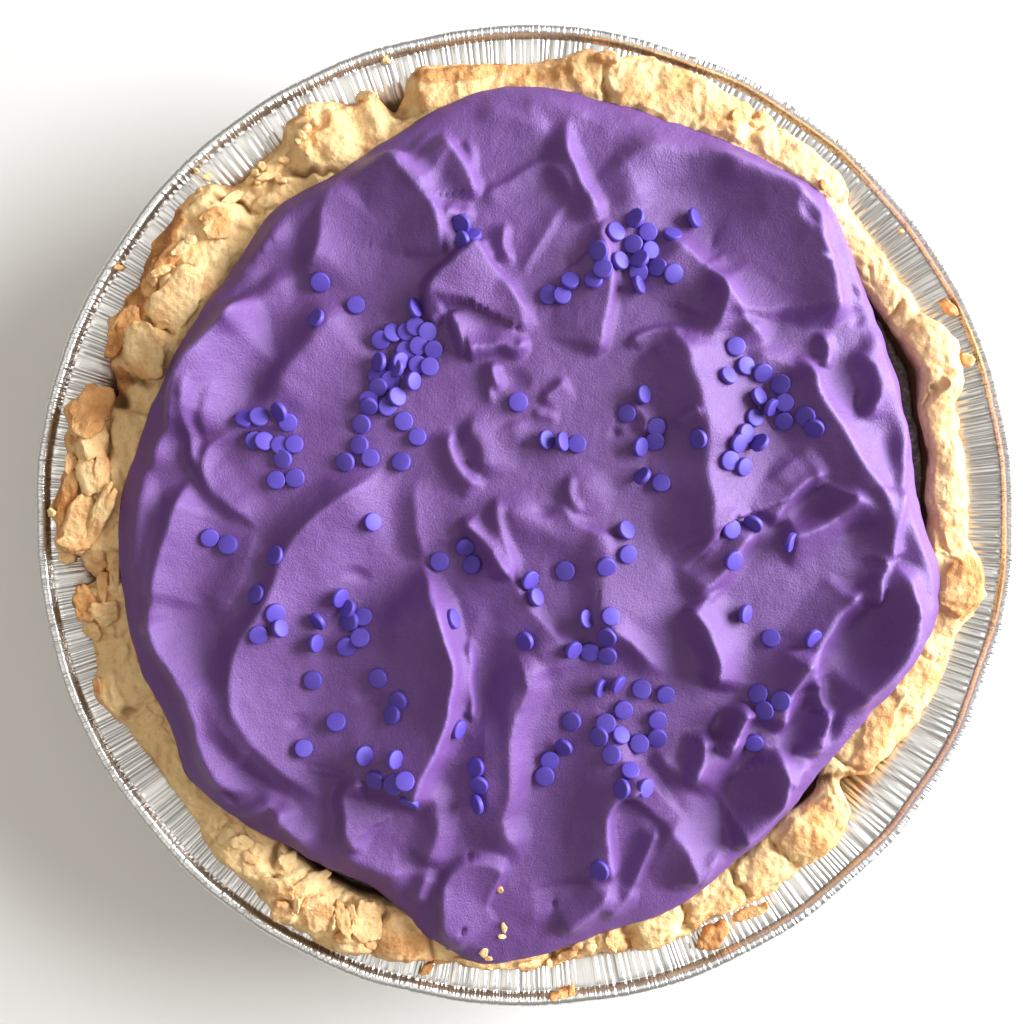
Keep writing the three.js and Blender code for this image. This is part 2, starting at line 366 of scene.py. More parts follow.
# Pieces of dough that lie over the crown or stand out of it: name, direction, half its width in
# degrees, pixels from the middle, half its depth in pixels, turn, height mm, baked colour (set below
# zero on the left, as painted light there)
DOUGH = [
    ("east_roll", 7, 13, 430, 16, 0, 0.9, 0.0),
    ("east_upper", 22, 5, 437, 22, 10, 1.1, 0.1),
    ("loose_end", 33, 5, 425, 18, -6, 0.5, 0.0),
    ("pale_run", 40, 6.5, 430, 15, 0, 0.7, 0.0),
    ("pale_lobe", 52, 7, 447, 18, 0, 0.9, 0.05),
    ("big_lobe", 69.5, 10, 443, 27, 0, 1.7, 0.12),
    ("curl", 79, 1.4, 460, 7, 20, 0.8, 0.8),
    ("lobe_west", 82, 2.6, 446, 22, 0, 1.0, 0.35),
    ("smooth_band", 94, 12, 432, 20, 0, 0.8, 0.4),
    ("tan_stripe", 98.5, 6, 447, 8, 0, 0.5, 0.75),
    ("small_fold", 114, 6, 424, 22, -10, 0.9, 0.15),
    ("flake_118", 118.5, 3.2, 452, 10, 30, 0.8, 0.35),
    ("strip_128", 128, 3.4, 408, 8, 0, 0.9, 0.0),
    ("ragged_126", 126, 3.4, 433, 8, -20, 1.0, 0.05),
    ("big_pale", 140.5, 7, 424, 26, 0, 1.5, -0.05),
    ("rim_brown_143", 143.5, 5, 449, 9, 0, 0.5, 0.9),
    ("pale_flake_149", 149, 3.6, 413, 17, 8, 1.2, 0.0),
    ("rim_brown_150", 151, 4.5, 443, 11, 0, 0.4, 0.8),
    ("lobe_156", 156.5, 3.8, 415, 20, 0, 1.5, -0.1),
    ("rim_brown_157", 157.5, 3, 445, 9, 0, 0.4, 0.75),
    ("small_161", 161.2, 1.4, 430, 9, 0, 0.5, 0.8),
    ("tan_flake_167", 167.2, 3.6, 445, 19, 8, 1.1, 0.55),
    ("leaf_172", 172, 4.6, 436, 11, -8, 1.2, -0.1),
    ("tan_173", 173.6, 1.8, 457, 6, 0, 0.8, 0.5),
    ("flakes_178", 177.8, 2.8, 425, 14, 0, 1.0, 0.1),
    ("brown_178", 177.5, 2.4, 459, 11, 10, 0.7, 0.75),
    ("flakes_183", 183, 2.8, 452, 14, -15, 0.9, 0.3),
    ("lower_188", 188, 3.2, 413, 9, 0, 0.9, -0.1),
    ("brown_191", 191, 2.2, 448, 9, 0, 0.6, 0.85),
    ("pale_194", 194, 2.4, 438, 14, 0, 1.0, -0.1),
    ("pale_198", 198, 2.6, 434, 18, 0, 0.8, -0.1),
    ("bulge_203", 203, 3.4, 450, 13, 0, 0.9, 0.0),
    ("band_216", 216, 10, 430, 17, 0, 0.5, 0.0),
    ("lump_229", 229.5, 3.6, 440, 19, 6, 1.1, -0.1),
    ("lump_238", 238, 2.4, 445, 26, 0, 1.1, -0.1),
    ("lump_242", 242, 2.6, 448, 22, 25, 1.3, 0.0),
    ("lump_247", 247.2, 3.2, 440, 30, -12, 1.4, 0.15),
    ("lobe_254", 254, 3.2, 437, 26, 0, 1.0, 0.3),
    ("lump_262", 263, 6, 452, 7, 0, 0.5, 0.2),
    ("lump_277", 277, 2.6, 437, 12, 0, 1.0, 0.05),
    ("lump_281", 281.5, 2.4, 437, 12, 0, 1.0, 0.05),
    ("round_287", 287.5, 3.8, 430, 22, 0, 1.6, 0.0),
    ("band_295", 295.5, 4.6, 436, 14, 0, 0.8, 0.3),
    ("pale_303", 303.5, 3.6, 428, 22, 0, 1.2, 0.05),
    ("tan_lobe_312", 312, 5, 430, 24, -4, 1.3, 0.35),
    ("small_316", 316, 2.2, 392, 6, 0, 0.8, 0.1),
    ("band_328", 328, 8, 415, 16, -14, 0.9, 0.4),
    ("band_337", 337, 4, 425, 20, 0, 0.9, 0.25),
    ("band_345", 344.5, 4, 430, 18, 0, 0.9, 0.15),
    ("bulge_351", 351, 4, 440, 21, 0, 1.1, 0.5),
    ("band_358", 357.5, 3, 418, 20, 0, 0.8, 0.1),
]
# Creases and cracks: direction and pixels from the middle at each end, half width mm, depth mm
CREASES = [
    (79.4, 418, 79.8, 452, 0.6, 1.3), (107.3, 425, 106.5, 450, 1.4, 2.0),
    (118.5, 388, 125.2, 420, 0.9, 2.0), (130, 402, 133.6, 438, 0.8, 1.8),
    (143.4, 414, 144.6, 432, 0.5, 1.2), (152.7, 398, 152.6, 428, 0.8, 1.8),
    (160.3, 395, 160.8, 440, 0.9, 1.6), (163.5, 420, 163, 460, 1.6, 4.0),
    (167, 421, 177, 420, 0.6, 1.4), (180, 424, 184.4, 440, 0.8, 1.8), (187.3, 424, 187, 465, 1.5, 3.6),
    (195.8, 410, 196.4, 440, 0.5, 0.9), (206.5, 425, 206, 455, 0.7, 1.2),
    (226, 420, 226.6, 455, 0.6, 1.0), (233.4, 404, 234, 424, 0.9, 2.0),
    (235.5, 428, 235, 465, 0.7, 1.4), (243, 445, 245.8, 420, 0.6, 1.6),
    (245.5, 420, 246, 470, 0.5, 1.2), (250.6, 410, 250.6, 462, 0.8, 1.6),
    (257.4, 415, 258, 450, 0.6, 1.2), (274, 425, 274, 452, 0.8, 1.6),
    (279.4, 425, 279.2, 448, 0.6, 1.0), (284, 408, 283.9, 450, 0.8, 1.8),
    (291, 412, 291.4, 448, 0.6, 1.4), (300, 408, 300, 448, 0.6, 1.2),
    (307.4, 404, 307.8, 445, 0.6, 1.5), (318, 398, 319.6, 412, 1.2, 2.4),
    (322, 400, 323, 425, 0.6, 1.2), (340.4, 418, 340.6, 440, 0.6, 1.2),
    (347, 425, 346.4, 450, 0.5, 1.0), (355.4, 415, 355, 445, 0.5, 1.0), (16, 418, 19, 436, 1.2, 1.8),
    (28.6, 412, 30, 436, 0.8, 1.4), (44.6, 430, 45, 455, 0.8, 1.2), (60, 425, 60, 455, 0.5, 0.9),
    (173.5, 402, 181, 398, 0.5, 0.8),
]


def inner_edge(degrees):
    """Distance in mm of the crust's inner edge from the middle."""
    return px_to_mm(round_table(CRUST_INNER, degrees), CRUST_INNER_HEIGHT)


def on_crown(degrees, distance):
    """The place in mm on the crown in that direction, that many pixels from the middle."""
    r = px_to_mm(distance, CROWN_HEIGHT)
    c, s = cos_sin(degrees)
    return r * c, r * s


def dough_relief(x, y):
    """Height in mm above the plain crown, and its baked colour, made paler on the left as painted light."""
    wx = x + 1.3 * swells(x, y, 5, 21) + 0.8 * swells(x, y, 2.1, 22)
    wy = y + 1.3 * swells(x, y, 5, 23) + 0.8 * swells(x, y, 2.1, 24)
    far = np.hypot(wx, wy)
    direction = np.degrees(np.arctan2(wy, wx))
    height, brown_and_light = np.zeros(len(x)), np.zeros(len(x))
    for _, towards, half_width, distance, half_depth, turn, rise, browning in DOUGH:
        middle = px_to_mm(distance, CROWN_HEIGHT)
        along = np.radians((direction - towards + 180) % 360 - 180) * middle
        across = far - middle
        near = (abs(along) < half_width * 3.2) & (abs(across) < half_depth)
        c, s = cos_sin(turn)
        u = (along[near] * c + across[near] * s) / (math.radians(half_width) * middle)
        v = (across[near] * c - along[near] * s) / px_to_mm(half_depth, CROWN_HEIGHT)
        inside = 1 - (abs(u) ** 2.6 + abs(v) ** 2.6)
        edge = np.clip(inside / 0.2, 0, 1)
        height[near] += rise * quarter_round(edge) * (0.75 + 0.25 * np.clip(inside, 0, 1))
        brown_and_light[near] = np.where(edge > 0, brown_and_light[near] * (1 - edge) + browning * edge, brown_and_light[near])
    for start, start_px, end, end_px, half_width, depth in CREASES:
        (ax, ay), (bx, by) = on_crown(start, start_px), on_crown(end, end_px)
        t = np.clip(((wx - ax) * (bx - ax) + (wy - ay) * (by - ay))
                    / ((bx - ax) ** 2 + (by - ay) ** 2), 0, 1)
        away = np.hypot(wx - ax - t * (bx - ax), wy - ay - t * (by - ay)) / half_width
        height -= depth * np.exp(-away ** 2) * (0.5 + 0.5 * np.sin(np.pi * np.clip(t, 0.02, 0.98)))
    # hair cracks follow the lines where random swells pass through zero
    for size, seed, deep in ((6, 25, 0.55), (3.4, 26, 0.3)):
        crack = np.exp(-(swells(wx, wy, size, seed) / 0.07) ** 2)
        height -= deep * crack * smooth(0.0, 0.5, swells(x, y, 11, seed + 5))
    return height, brown_and_light


def crust_shape():
    """Lining and crown as one closed body: floor, wall, overhanging edge, crown, inner side."""
    rows_before = len(LINING) + len(OVERHANG)
    rows_to_side = rows_before + CRUST_TOP_ROWS
    rows = rows_to_side + len(INNER_SIDE) + len(FLOOR_ROWS)
    bm, step, row = wrapped(rows, CRUST_STEPS)
    angle = step % CRUST_STEPS / CRUST_STEPS * math.tau
    degrees = np.degrees(angle)
    ex, ey = 100 * np.cos(angle), 100 * np.sin(angle)
    outer = px_to_mm(round_table(CRUST_OUTER, degrees), CRUST_EDGE_HEIGHT)
    ragged = 0.9 * swells(ex, ey, 4.2, 31) + 0.6 * swells(ex, ey, 1.7, 32)
    inner = px_to_mm(round_table(CRUST_INNER, degrees) + 2.5 * swells(ex, ey, 5, 33), CRUST_INNER_HEIGHT)
    over = smooth(*FLANGE_REACH, outer)
    rest = EDGE_IN_WALL * (1 - over) + EDGE_ON_FLANGE * over

    # the top, from its outer to its inner edge
    t = np.clip((row - rows_before) / (CRUST_TOP_ROWS - 1), 0, 1)
    share = 1 - (1 - t) ** 1.15
    r = outer * (1 - share) + inner * share + ragged * np.clip(1 - 4 * share, 0, 1) ** 2
    x, y = r * np.cos(angle), r * np.sin(angle)
    relief, brown_and_light = dough_relief(x, y)
    side = np.clip(share * 7, 0, 1)
    back = np.clip((1 - share) * 8, 0, 1)
    crown = OUTER_RISE * quarter_round(side) + MIDDLE_RISE * np.sin(np.pi * share)
    crown -= INNER_DROP * (1 - quarter_round(back))
    lumps = 0.6 * swells(x, y, 8, 34) + 0.4 * swells(x, y, 3.6, 35)
    lumps += 0.45 * (0.35 - abs(swells(x, y, 2.3, 36))) + 0.13 * swells(x, y, 1.1, 38)
    # the lower left is lumpier
    lumps *= 1 + 0.7 * smooth(26, 14, abs(degrees - 214))
    z = rest + 0.5 + crown + relief * side + lumps * side

    start = np.minimum(wall_radius(25.0) - 1.6, outer - 0.8)
    overhang = [(start + (outer + ragged - start) * out, rest - 0.7 + 0.5 * out - (1 - out) * 1.2)
                for out in OVERHANG]
    inner_side = [(inner - inward, height) for inward, height in INNER_SIDE]
    r, z = with_rows(r, z, row, 0, LINING + overhang)
    r, z = with_rows(r, z, row, rows_to_side, inner_side + [(radius, CRUST_FLOOR) for radius in FLOOR_ROWS])
    move(bm, r * np.cos(angle), r * np.sin(angle), z)

    # browner at the outer edge and on what stands high; paler at the left as painted light on the side the
    # cream shades
    brown_and_light += 0.4 * (1 - smooth(0, 0.2, share)) * (row >= rows_before - 1)
    brown_and_light -= 0.1 * smooth(75, 35, abs(degrees - 200))
    brown_and_light += 0.25 * swells(x, y, 6, 37) + 0.12 * np.clip((relief + lumps) / 2.4, 0, 1)
    mark(bm, "browning", np.clip(brown_and_light, 0, 1))
    # painted shade in the creases and cracks, and on the inner side down in the gap
    mark(bm, "hollow", np.where(row >= rows_to_side, 1, np.clip(-relief / 1.8, 0, 0.8)))
    close_up(bm, step, row)
    return bm


def pastry_material():
    material, tree = new_material("shortcrust")
    spot = add(tree, "TexCoord").outputs["Object"]
    # The baked-colour mark also carries painted light: it is lower on the shaded left, which makes the
    # crust paler there
    browning = add(tree, "Attribute", {"attribute_name": "browning"})
    hollow = add(tree, "Attribute", {"attribute_name": "hollow"})
    blotches = add(tree, "TexNoise",
                   {"Scale": every_mm(5), "Detail": 5, "Roughness": 0.62}, {"Vector": spot})
    grain = add(tree, "TexNoise",
                {"Scale": every_mm(0.9), "Detail": 4, "Roughness": 0.7}, {"Vector": spot})
    flakes = add(tree, "TexVoronoi",
                 {"Scale": every_mm(1.7), "feature": "SMOOTH_F1", "Smoothness": 0.6}, {"Vector": spot})
    shift = add(tree, "Math", {"operation": "MULTIPLY_ADD", 1: 1.2, 2: -0.6},
                {0: blotches.outputs["Fac"]})
    speck = add(tree, "Math", {"operation": "MULTIPLY_ADD", 1: 0.5, 2: -0.25},
                {0: grain.outputs["Fac"]})
    blotched = add(tree, "Math", {"operation": "ADD"},
                   {0: browning.outputs["Fac"], 1: shift.outputs[0]})
    baked = add(tree, "Math", {"operation": "ADD", "use_clamp": True},
                {0: blotched.outputs[0], 1: speck.outputs[0]})
    shades = add(tree, "ValToRGB", {"stops": [
        (0.0, colour("#f6d196")), (0.3, colour("#ebb97f")), (0.55, colour("#dca064")),
        (0.8, colour("#cc8e54")), (1.0, colour("#b0733f"))]}, {0: baked.outputs[0]})
    # painted shade: the colour is multiplied darker in the creases and on the inner side
    dark = add(tree, "Mix",
               {"data_type": "RGBA", "blend_type": "MULTIPLY", 7: colour("#7d6450")},
               {0: hollow.outputs["Fac"], 6: shades.outputs["Color"]})
    rough = add(tree, "Bump", {"Strength": 0.8, "Distance": 0.0007},
                {"Height": grain.outputs["Fac"]})
    flaky = add(tree, "Bump", {"Strength": 0.5, "Distance": 0.0008},
                {"Height": flakes.outputs["Distance"], "Normal": rough.outputs["Normal"]})
    shader = add(tree, "BsdfPrincipled", {"Roughness": 0.78, "Specular IOR Level": 0.3},
                 {"Base Color": dark.outputs[2], "Normal": flaky.outputs["Normal"]})
    add(tree, "OutputMaterial", {}, {"Surface": shader.outputs["BSDF"]})
    return material


PASTRY = pastry_material()
CRUST = piece(crust_shape(), "crust", PASTRY, "pie_crust")


# --- Filling ---
# Cooked purple yam: dense, dark and crumbly, only just moist.

FILLING_STEPS = 720
FILLING_HEIGHT = 22.5
# Rows of the top: the hidden middle, then evenly spaced rings out to the crust
FILLING_MIDDLE = [0, 30, 60, 74]
FILLING_RING_START = 76.0
FILLING_RINGS = 34
FILLING_ROWS_BELOW = 4
FILLING_BOTTOM = 6.2


def filling_shape():
    """A thick disc whose top is crumbly where it shows beside the cream."""
    top_rows = len(FILLING_MIDDLE) + FILLING_RINGS
    bm, step, row = wrapped(top_rows + FILLING_ROWS_BELOW, FILLING_STEPS)
    angle = step % FILLING_STEPS / FILLING_STEPS * math.tau
    limit = inner_edge(np.degrees(angle)) - 0.3
    share = np.clip((row - len(FILLING_MIDDLE)) / (FILLING_RINGS - 1), 0, 1)
    r = FILLING_RING_START + (limit - FILLING_RING_START) * share
    for k, radius in enumerate(FILLING_MIDDLE):
        r[row == k] = radius
    x, y = r * np.cos(angle), r * np.sin(angle)
    crumbs = (0.9 * abs(swells(x, y, 2.6, 41)) + 0.5 * abs(swells(x, y, 1.2, 42))
              + 0.5 * swells(x, y, 8, 43))
    z = FILLING_HEIGHT - 0.6 + crumbs * smooth(74, 78, r) + 2.6 * smooth(84, 90, r)
    # down the side, then across the underside
    below = [(limit - 1.2, 22), (limit - 4.2, 15), (71, FILLING_BOTTOM), (0, FILLING_BOTTOM)]
    r, z = with_rows(r, z, row, top_rows, below)
    move(bm, r * np.cos(angle), r * np.sin(angle), z)
    close_up(bm, step, row)
    return bm


def filling_material():
    material, tree = new_material("purple_yam")
    spot = add(tree, "TexCoord").outputs["Object"]
    crumb = add(tree, "TexNoise",
                {"Scale": every_mm(1.4), "Detail": 5, "Roughness": 0.7}, {"Vector": spot})
    shades = add(tree, "ValToRGB", {"stops": [
        (0.35, colour("#3c332f")), (0.55, colour("#74675f")), (0.75, colour("#b8ab9c"))]},
        {0: crumb.outputs["Fac"]})
    bump = add(tree, "Bump", {"Strength": 0.8, "Distance": 0.0008},
               {"Height": crumb.outputs["Fac"]})
    shader = add(tree, "BsdfPrincipled", {"Roughness": 0.55},
                 {"Base Color": shades.outputs["Color"], "Normal": bump.outputs["Normal"]})
    add(tree, "OutputMaterial", {}, {"Surface": shader.outputs["BSDF"]})
    return material


piece(filling_shape(), "filling", filling_material(), "ube_filling")


# --- Whipped ube cream ---
# Stiff whipped cream: matt, velvety, broad spatula strokes that end in thin crests.

CREAM_CELLS = 306
CREAM_SHOULDER = 8.0
SHOULDER_ARC = 10.0
SHOULDER_RISE = 4.5
DOME_RISE = 2.5
DOME_REACH = 95
# Share of the grid, from its middle, that makes the top; the rest goes down to the crust
TOP_SHARE = 0.955
# Height of the cream's foot in the gap beside the crust, and where it lies over the crust
FOOT_IN_GAP = 22.0
FOOT_ON_CRUST = 30.4
# All ridges are drawn this much higher than their table says
RELIEF = 1.5
# Radius in mm of a soft crest and of a sharp one
SOFT_TOP = 1.8
SHARP_TOP = 0.35
# How a ridge's sides fall away: 1 is a plane, more is hollow. A right-hand side that reaches
# further than BROAD is nearly plane.
PLANE = 1.2
RIGHT_HOLLOW = 1.5
LEFT_HOLLOW = 1.8
BROAD = 9
# A pressed hollow ends where the squares of its shares of length and width add up to this
HOLLOW_END = 1.82

# Edge of the cream: direction in degrees, pixels from the middle of the tin
CREAM_EDGE = {
    0: 394, 10: 391, 20: 394, 30: 402, 40: 420, 47: 437, 55: 430, 60: 425, 70: 421, 80: 422, 90: 430,
    100: 419, 110: 399, 120: 391, 130: 394, 140: 381, 150: 382, 160: 386, 170: 392, 180: 405, 190: 408,
    200: 413, 210: 410, 217: 424, 222: 422, 230: 411, 240: 402, 250: 404, 258: 434, 265: 448, 270: 441,
    280: 424, 290: 419, 300: 405, 310: 397, 320: 390, 330: 397, 340: 416, 347: 423, 352: 417,
}
# Ridges left by the spatula: name, course in the photograph, height mm, reach mm on the left hand
# and on the right hand of the course, share of the course over which it fades in and out. The soft
# ones have a round crest, and the planes fall away evenly on the left hand.
SOFT_RIDGES = (
    "south_wave", "tall_south_foot", "middle_step", "north_west_streak", "north_west_band",
    "west_outer", "north_east_slope", "south_wave_slope", "fan_top", "west_foot_inner",
    "south_wave_groove", "middle_slope", "west_dark", "middle_shelf", "east_streak", "crescent_rim",
    "north_streak", "north_streak_inner", "bowl_rim_north", "middle_bump", "east_wave_foot",
    "west_levee_top", "lobe_crease",
)
PLANES = (
    "torn_peak_west", "west_levee", "middle_slope", "south_east_blade", "curled_peak_west", "lobe",
)
RIDGES = [
    # north-west
    ("north_west_rim", [(352, 172), (336, 186), (326, 204), (322, 226), (319, 248), (308, 268),
     (294, 282)], 2.4, 14, 7, .25, .3),
    ("north_west_streak", [(352, 160), (332, 178), (305, 200), (278, 226), (254, 252), (236, 276)],
     1.6, 3, 5, .3, .3),
    ("north_west_band", [(300, 215), (270, 245), (244, 272), (222, 300)], 1.4, 3, 5, .3, .3),
    ("west_levee_top", [(298, 268), (275, 288), (255, 304), (236, 320), (214, 334)], 1.8, 4, 4, .3, .3),
    ("west_levee", [(256, 296), (236, 314), (214, 334), (196, 356), (184, 384), (174, 412), (162, 440)],
     6.6, 14, 6, .2, .25),
    ("middle_step", [(356, 298), (332, 318), (308, 342), (290, 370), (274, 398), (262, 420)],
     2.6, 14, 8, .25, .3),
    ("levee_crest", [(200, 368), (194, 395), (189, 425), (192, 455), (197, 480)], 1.5, 2, 2.4, .25, .2),
    ("levee_low", [(186, 398), (172, 425), (158, 450), (150, 480)], 2.0, 6, 5, .3, .3),
    ("levee_sliver", [(222, 372), (212, 398), (206, 420), (203, 442)], 1.0, 4, 2, .3, .3),
    ("west_arc", [(300, 432), (262, 420), (232, 428), (210, 446), (202, 468), (208, 492)],
     1.4, 3, 8, .3, .3),
    ("north_west_fold", [(391, 142), (391, 158), (400, 170), (412, 181), (428, 196), (438, 214),
     (441, 234), (442, 256), (436, 276)], 3.9, 6, 18, .1, .4),
    ("fold_wedge", [(392, 150), (408, 166), (424, 180), (440, 190)], 1.8, 13, 3, .2, .3),
    ("north_fold", [(441, 131), (448, 144), (457, 156), (468, 172), (474, 186), (475, 199)],
     3.0, 2.6, 10, .2, .15),
    ("north_fold_edge", [(467, 134), (470, 152), (474, 172)], 0.8, 1.5, 2, .3, .3),
    ("shelf", [(443, 206), (460, 211), (478, 213)], 1.4, 4, 3, .3, .3),
    ("facet_top", [(475, 197), (502, 184), (525, 168), (540, 161), (557, 168), (569, 186), (569, 200)],
     0.9, 2, 4, .15, .2),
    ("facet_side", [(569, 196), (557, 214), (546, 235), (528, 261), (518, 276)], 0.8, 1.6, 4, .2, .3),
    ("torn_peak_spike", [(508, 218), (506, 234), (506, 246), (516, 262)], 1.6, 1.6, 4, .25, .2),
    ("torn_peak_barb", [(486, 238), (486, 248), (494, 260)], 1.2, 1.5, 2, .25, .25),
    ("torn_peak_west", [(484, 244), (473, 253), (455, 263), (438, 278), (430, 295), (431, 318)],
     4.8, 22, 3, .1, .3),
    ("torn_peak_streak", [(500, 268), (512, 290), (522, 318), (527, 340)], 1.0, 3, 5, .3, .2),
    ("torn_peak_tip", [(430, 319), (438, 312), (447, 305)], 1.6, 4, 2, .1, .3),
    ("torn_peak_corner", [(448, 306), (457, 326), (466, 354)], 2.4, 7, 2, .2, .1),
    ("torn_peak_south", [(466, 354), (482, 349), (500, 344), (518, 350), (532, 340)],
     2.4, 6, 2, .1, .15),
    # north-east
    ("north_wave", [(572, 112), (568, 134), (569, 156), (577, 174), (584, 190), (592, 206), (601, 226)],
     2.8, 4, 6, .35, .2),
    ("north_streak", [(505, 104), (540, 98), (575, 106), (604, 122)], 0.9, 3, 4, .3, .3),
    ("north_streak_inner", [(470, 118), (500, 112), (530, 118), (556, 134)], 0.8, 3, 4, .3, .3),
    ("north_east_slope", [(612, 150), (630, 180), (644, 210)], 1.6, 16, 6, .3, .3),
    ("north_wave_foot", [(606, 215), (600, 240), (588, 262)], 1.6, 6, 5, .3, .4),
    ("middle_north_crest", [(590, 234), (603, 243), (609, 268), (607, 298), (603, 321), (596, 360)],
     2.4, 2.6, 11, .2, .12),
    ("small_shelf", [(626, 350), (632, 340), (645, 334), (662, 330), (690, 329)], 1.6, 1.6, 4, .2, .25),
    ("east_wave", [(664, 226), (684, 244), (702, 262), (716, 280), (723, 298), (720, 322), (704, 346)],
     3.2, 6, 13, .2, .25),
    ("east_wave_back", [(706, 272), (726, 296), (748, 320), (772, 345)], 3.2, 10, 6, .25, .25),
    ("bowl_rim", [(690, 150), (716, 152), (752, 164), (787, 186), (804, 204), (816, 222), (817, 241),
     (823, 260), (830, 284), (833, 308), (834, 330)], 5.2, 6, 27, .42, .1),
    ("bowl_rim_north", [(606, 140), (640, 146), (676, 150), (716, 152), (752, 164), (780, 180)],
     2.0, 5, 8, .3, .3),
    ("north_east_crest", [(826, 200), (842, 232), (853, 262), (862, 292), (868, 318)],
     2.2, 3, 4, .2, .2),
    ("east_spike", [(820, 330), (828, 342), (830, 355), (826, 370)], 2.0, 3, 3, .25, .2),
    ("east_wave_foot", [(748, 346), (766, 354), (784, 361), (804, 366), (824, 362)],
     1.6, 4, 7, .25, .25),
    ("north_east_edge", [(868, 322), (884, 352), (897, 384), (905, 412), (907, 440), (904, 470),
     (908, 500)], 2.6, 4, 6, .15, .2),
    ("long_east_crest", [(796, 352), (806, 368), (818, 396), (837, 427), (852, 450), (866, 473),
     (879, 498), (887, 522), (889, 552)], 4.8, 7.5, 11, .15, .3),
    ("outer_east_crest", [(852, 350), (872, 364), (880, 386), (875, 408), (862, 424)],
     2.0, 4, 4, .2, .25),
    # east middle
    ("tall_east_crest", [(672, 322), (682, 345), (689, 372), (698, 400), (706, 432), (706, 473),
     (710, 502), (708, 530), (722, 543)], 4.8, 22, 12, .16, .1),
    ("tall_crest_barb", [(668, 427), (684, 417), (698, 408)], 1.2, 2, 4, .3, .2),
    ("twist_peak", [(628, 404), (640, 412), (646, 425), (640, 440)], 1.4, 3, 3, .25, .25),
    ("east_streak", [(762, 485), (777, 474), (791, 462), (804, 450), (814, 439)], 0.9, 2, 3, .3, .3),
    ("leaf_west", [(832, 473), (814, 477), (798, 488), (784, 506), (771, 528)], 2.8, 4, 7, .2, .15),
    ("leaf_south", [(858, 486), (850, 500), (836, 515), (817, 529), (797, 537), (778, 539)],
     3.4, 8, 9, .15, .15),
    ("east_spike_low", [(902, 484), (894, 515), (890, 545), (892, 562)], 2.8, 4, 8, .15, .12),
    ("south_east_blade", [(686, 605), (699, 592), (722, 569), (739, 546), (758, 526), (768, 512)],
     3.2, 10, 4.5, .2, .3),
    ("middle_slope", [(606, 500), (602, 560), (600, 620), (602, 690)], 2.4, 25, 6, .45, .4),
    ("south_east_edge", [(900, 470), (916, 530), (930, 575), (934, 610), (922, 645)],
     1.8, 3, 6, .2, .2),
    ("east_spike_thin", [(893, 556), (880, 572), (875, 588), (876, 610)], 2.6, 1.6, 4, .2, .2),
    # west
    ("scoop_rim", [(392, 455), (372, 478), (350, 494), (330, 508), (308, 525), (291, 551), (279, 577),
     (264, 608), (246, 642), (232, 680), (236, 710), (252, 736), (272, 758), (305, 785), (330, 806)],
     3.6, 22, 7, .15, .15),
    ("west_crest", [(190, 478), (178, 502), (168, 530), (161, 562), (154, 598), (150, 622)],
     3.4, 12, 5, .2, .2),
    ("west_mound", [(206, 440), (203, 462), (208, 486), (226, 504), (246, 518), (262, 535)],
     1.6, 8, 3, .3, .3),
    ("west_outer", [(150, 455), (143, 490), (139, 530), (137, 565), (136, 610)], 1.8, 3, 4, .3, .3),
    ("west_streak", [(156, 500), (150, 540), (148, 580), (146, 610)], 1.0, 2.5, 2.5, .3, .3),
    ("west_dark", [(256, 530), (250, 560), (240, 585), (226, 610), (212, 630)], 1.4, 3, 8, .3, .3),
    # middle
    ("crescent", [(452, 426), (449, 444), (455, 460), (468, 476), (488, 488)], 1.8, 2.4, 5, .15, .2),
    ("crescent_rim", [(456, 424), (474, 432), (485, 446), (488, 462), (482, 476)], 1.6, 6, 7, .25, .25),
    ("west_lip", [(420, 470), (416, 494), (418, 522), (423, 548), (430, 566)], 1.3, 9, 6, .35, .25),
    ("nub", [(496, 360), (494, 374), (501, 390)], 1.8, 2.4, 3, .25, .2),
    ("nub_arc", [(493, 386), (491, 393), (493, 401)], 0.8, 1.2, 1.5, .2, .2),
    ("middle_flick", [(568, 378), (554, 390), (539, 402)], 1.3, 5.5, 2.2, .25, .25),
    ("middle_flick_low", [(529, 410), (544, 416), (560, 417)], 0.6, 2, 2, .3, .3),
    ("swirl_inner", [(574, 476), (570, 490), (574, 504), (588, 514)], 1.0, 2, 1.6, .2, .25),
    ("swirl_outer", [(561, 498), (570, 516), (588, 530), (606, 537), (624, 534)], 1.3, 2.4, 4, .2, .3),
    ("middle_fold", [(463, 517), (474, 528), (486, 541), (499, 560), (513, 582)], 2.6, 5, 4, .15, .2),
    ("middle_shelf", [(487, 490), (516, 514), (550, 529), (585, 544), (616, 551), (640, 545)],
     1.8, 6, 6, .25, .3),
    ("middle_crease", [(500, 494), (501, 521), (509, 552), (518, 576)], 1.2, 2, 3, .2, .3),
    ("middle_bump", [(512, 418), (516, 432), (526, 446)], 0.8, 3, 4, .3, .3),
    ("long_diagonal", [(600, 618), (615, 632), (647, 658), (670, 676)], 2.0, 5, 5, .25, .3),
    # south-west
    ("west_foot_crest", [(148, 596), (152, 622), (158, 645), (172, 668), (186, 692), (196, 716),
     (203, 740), (212, 762), (228, 784), (255, 800)], 4.4, 11, 5, .15, .2),
    ("west_foot_inner", [(176, 655), (196, 684), (212, 712), (236, 744), (262, 770), (290, 796)],
     1.2, 5, 3, .3, .3),
    ("south_west_lip", [(228, 820), (250, 815), (264, 810), (271, 806), (282, 810), (305, 813)],
     1.8, 3, 5, .25, .3),
    ("south_west_crest", [(270, 810), (284, 820), (298, 834), (316, 854)], 2.2, 5, 4, .25, .3),
    ("south_west_mound", [(372, 780), (352, 784), (343, 796), (346, 815), (350, 838), (364, 854)],
     2.4, 14, 3, .15, .2),
    ("south_west_low", [(330, 846), (360, 862), (390, 872), (415, 868)], 1.6, 6, 6, .3, .3),
    # south
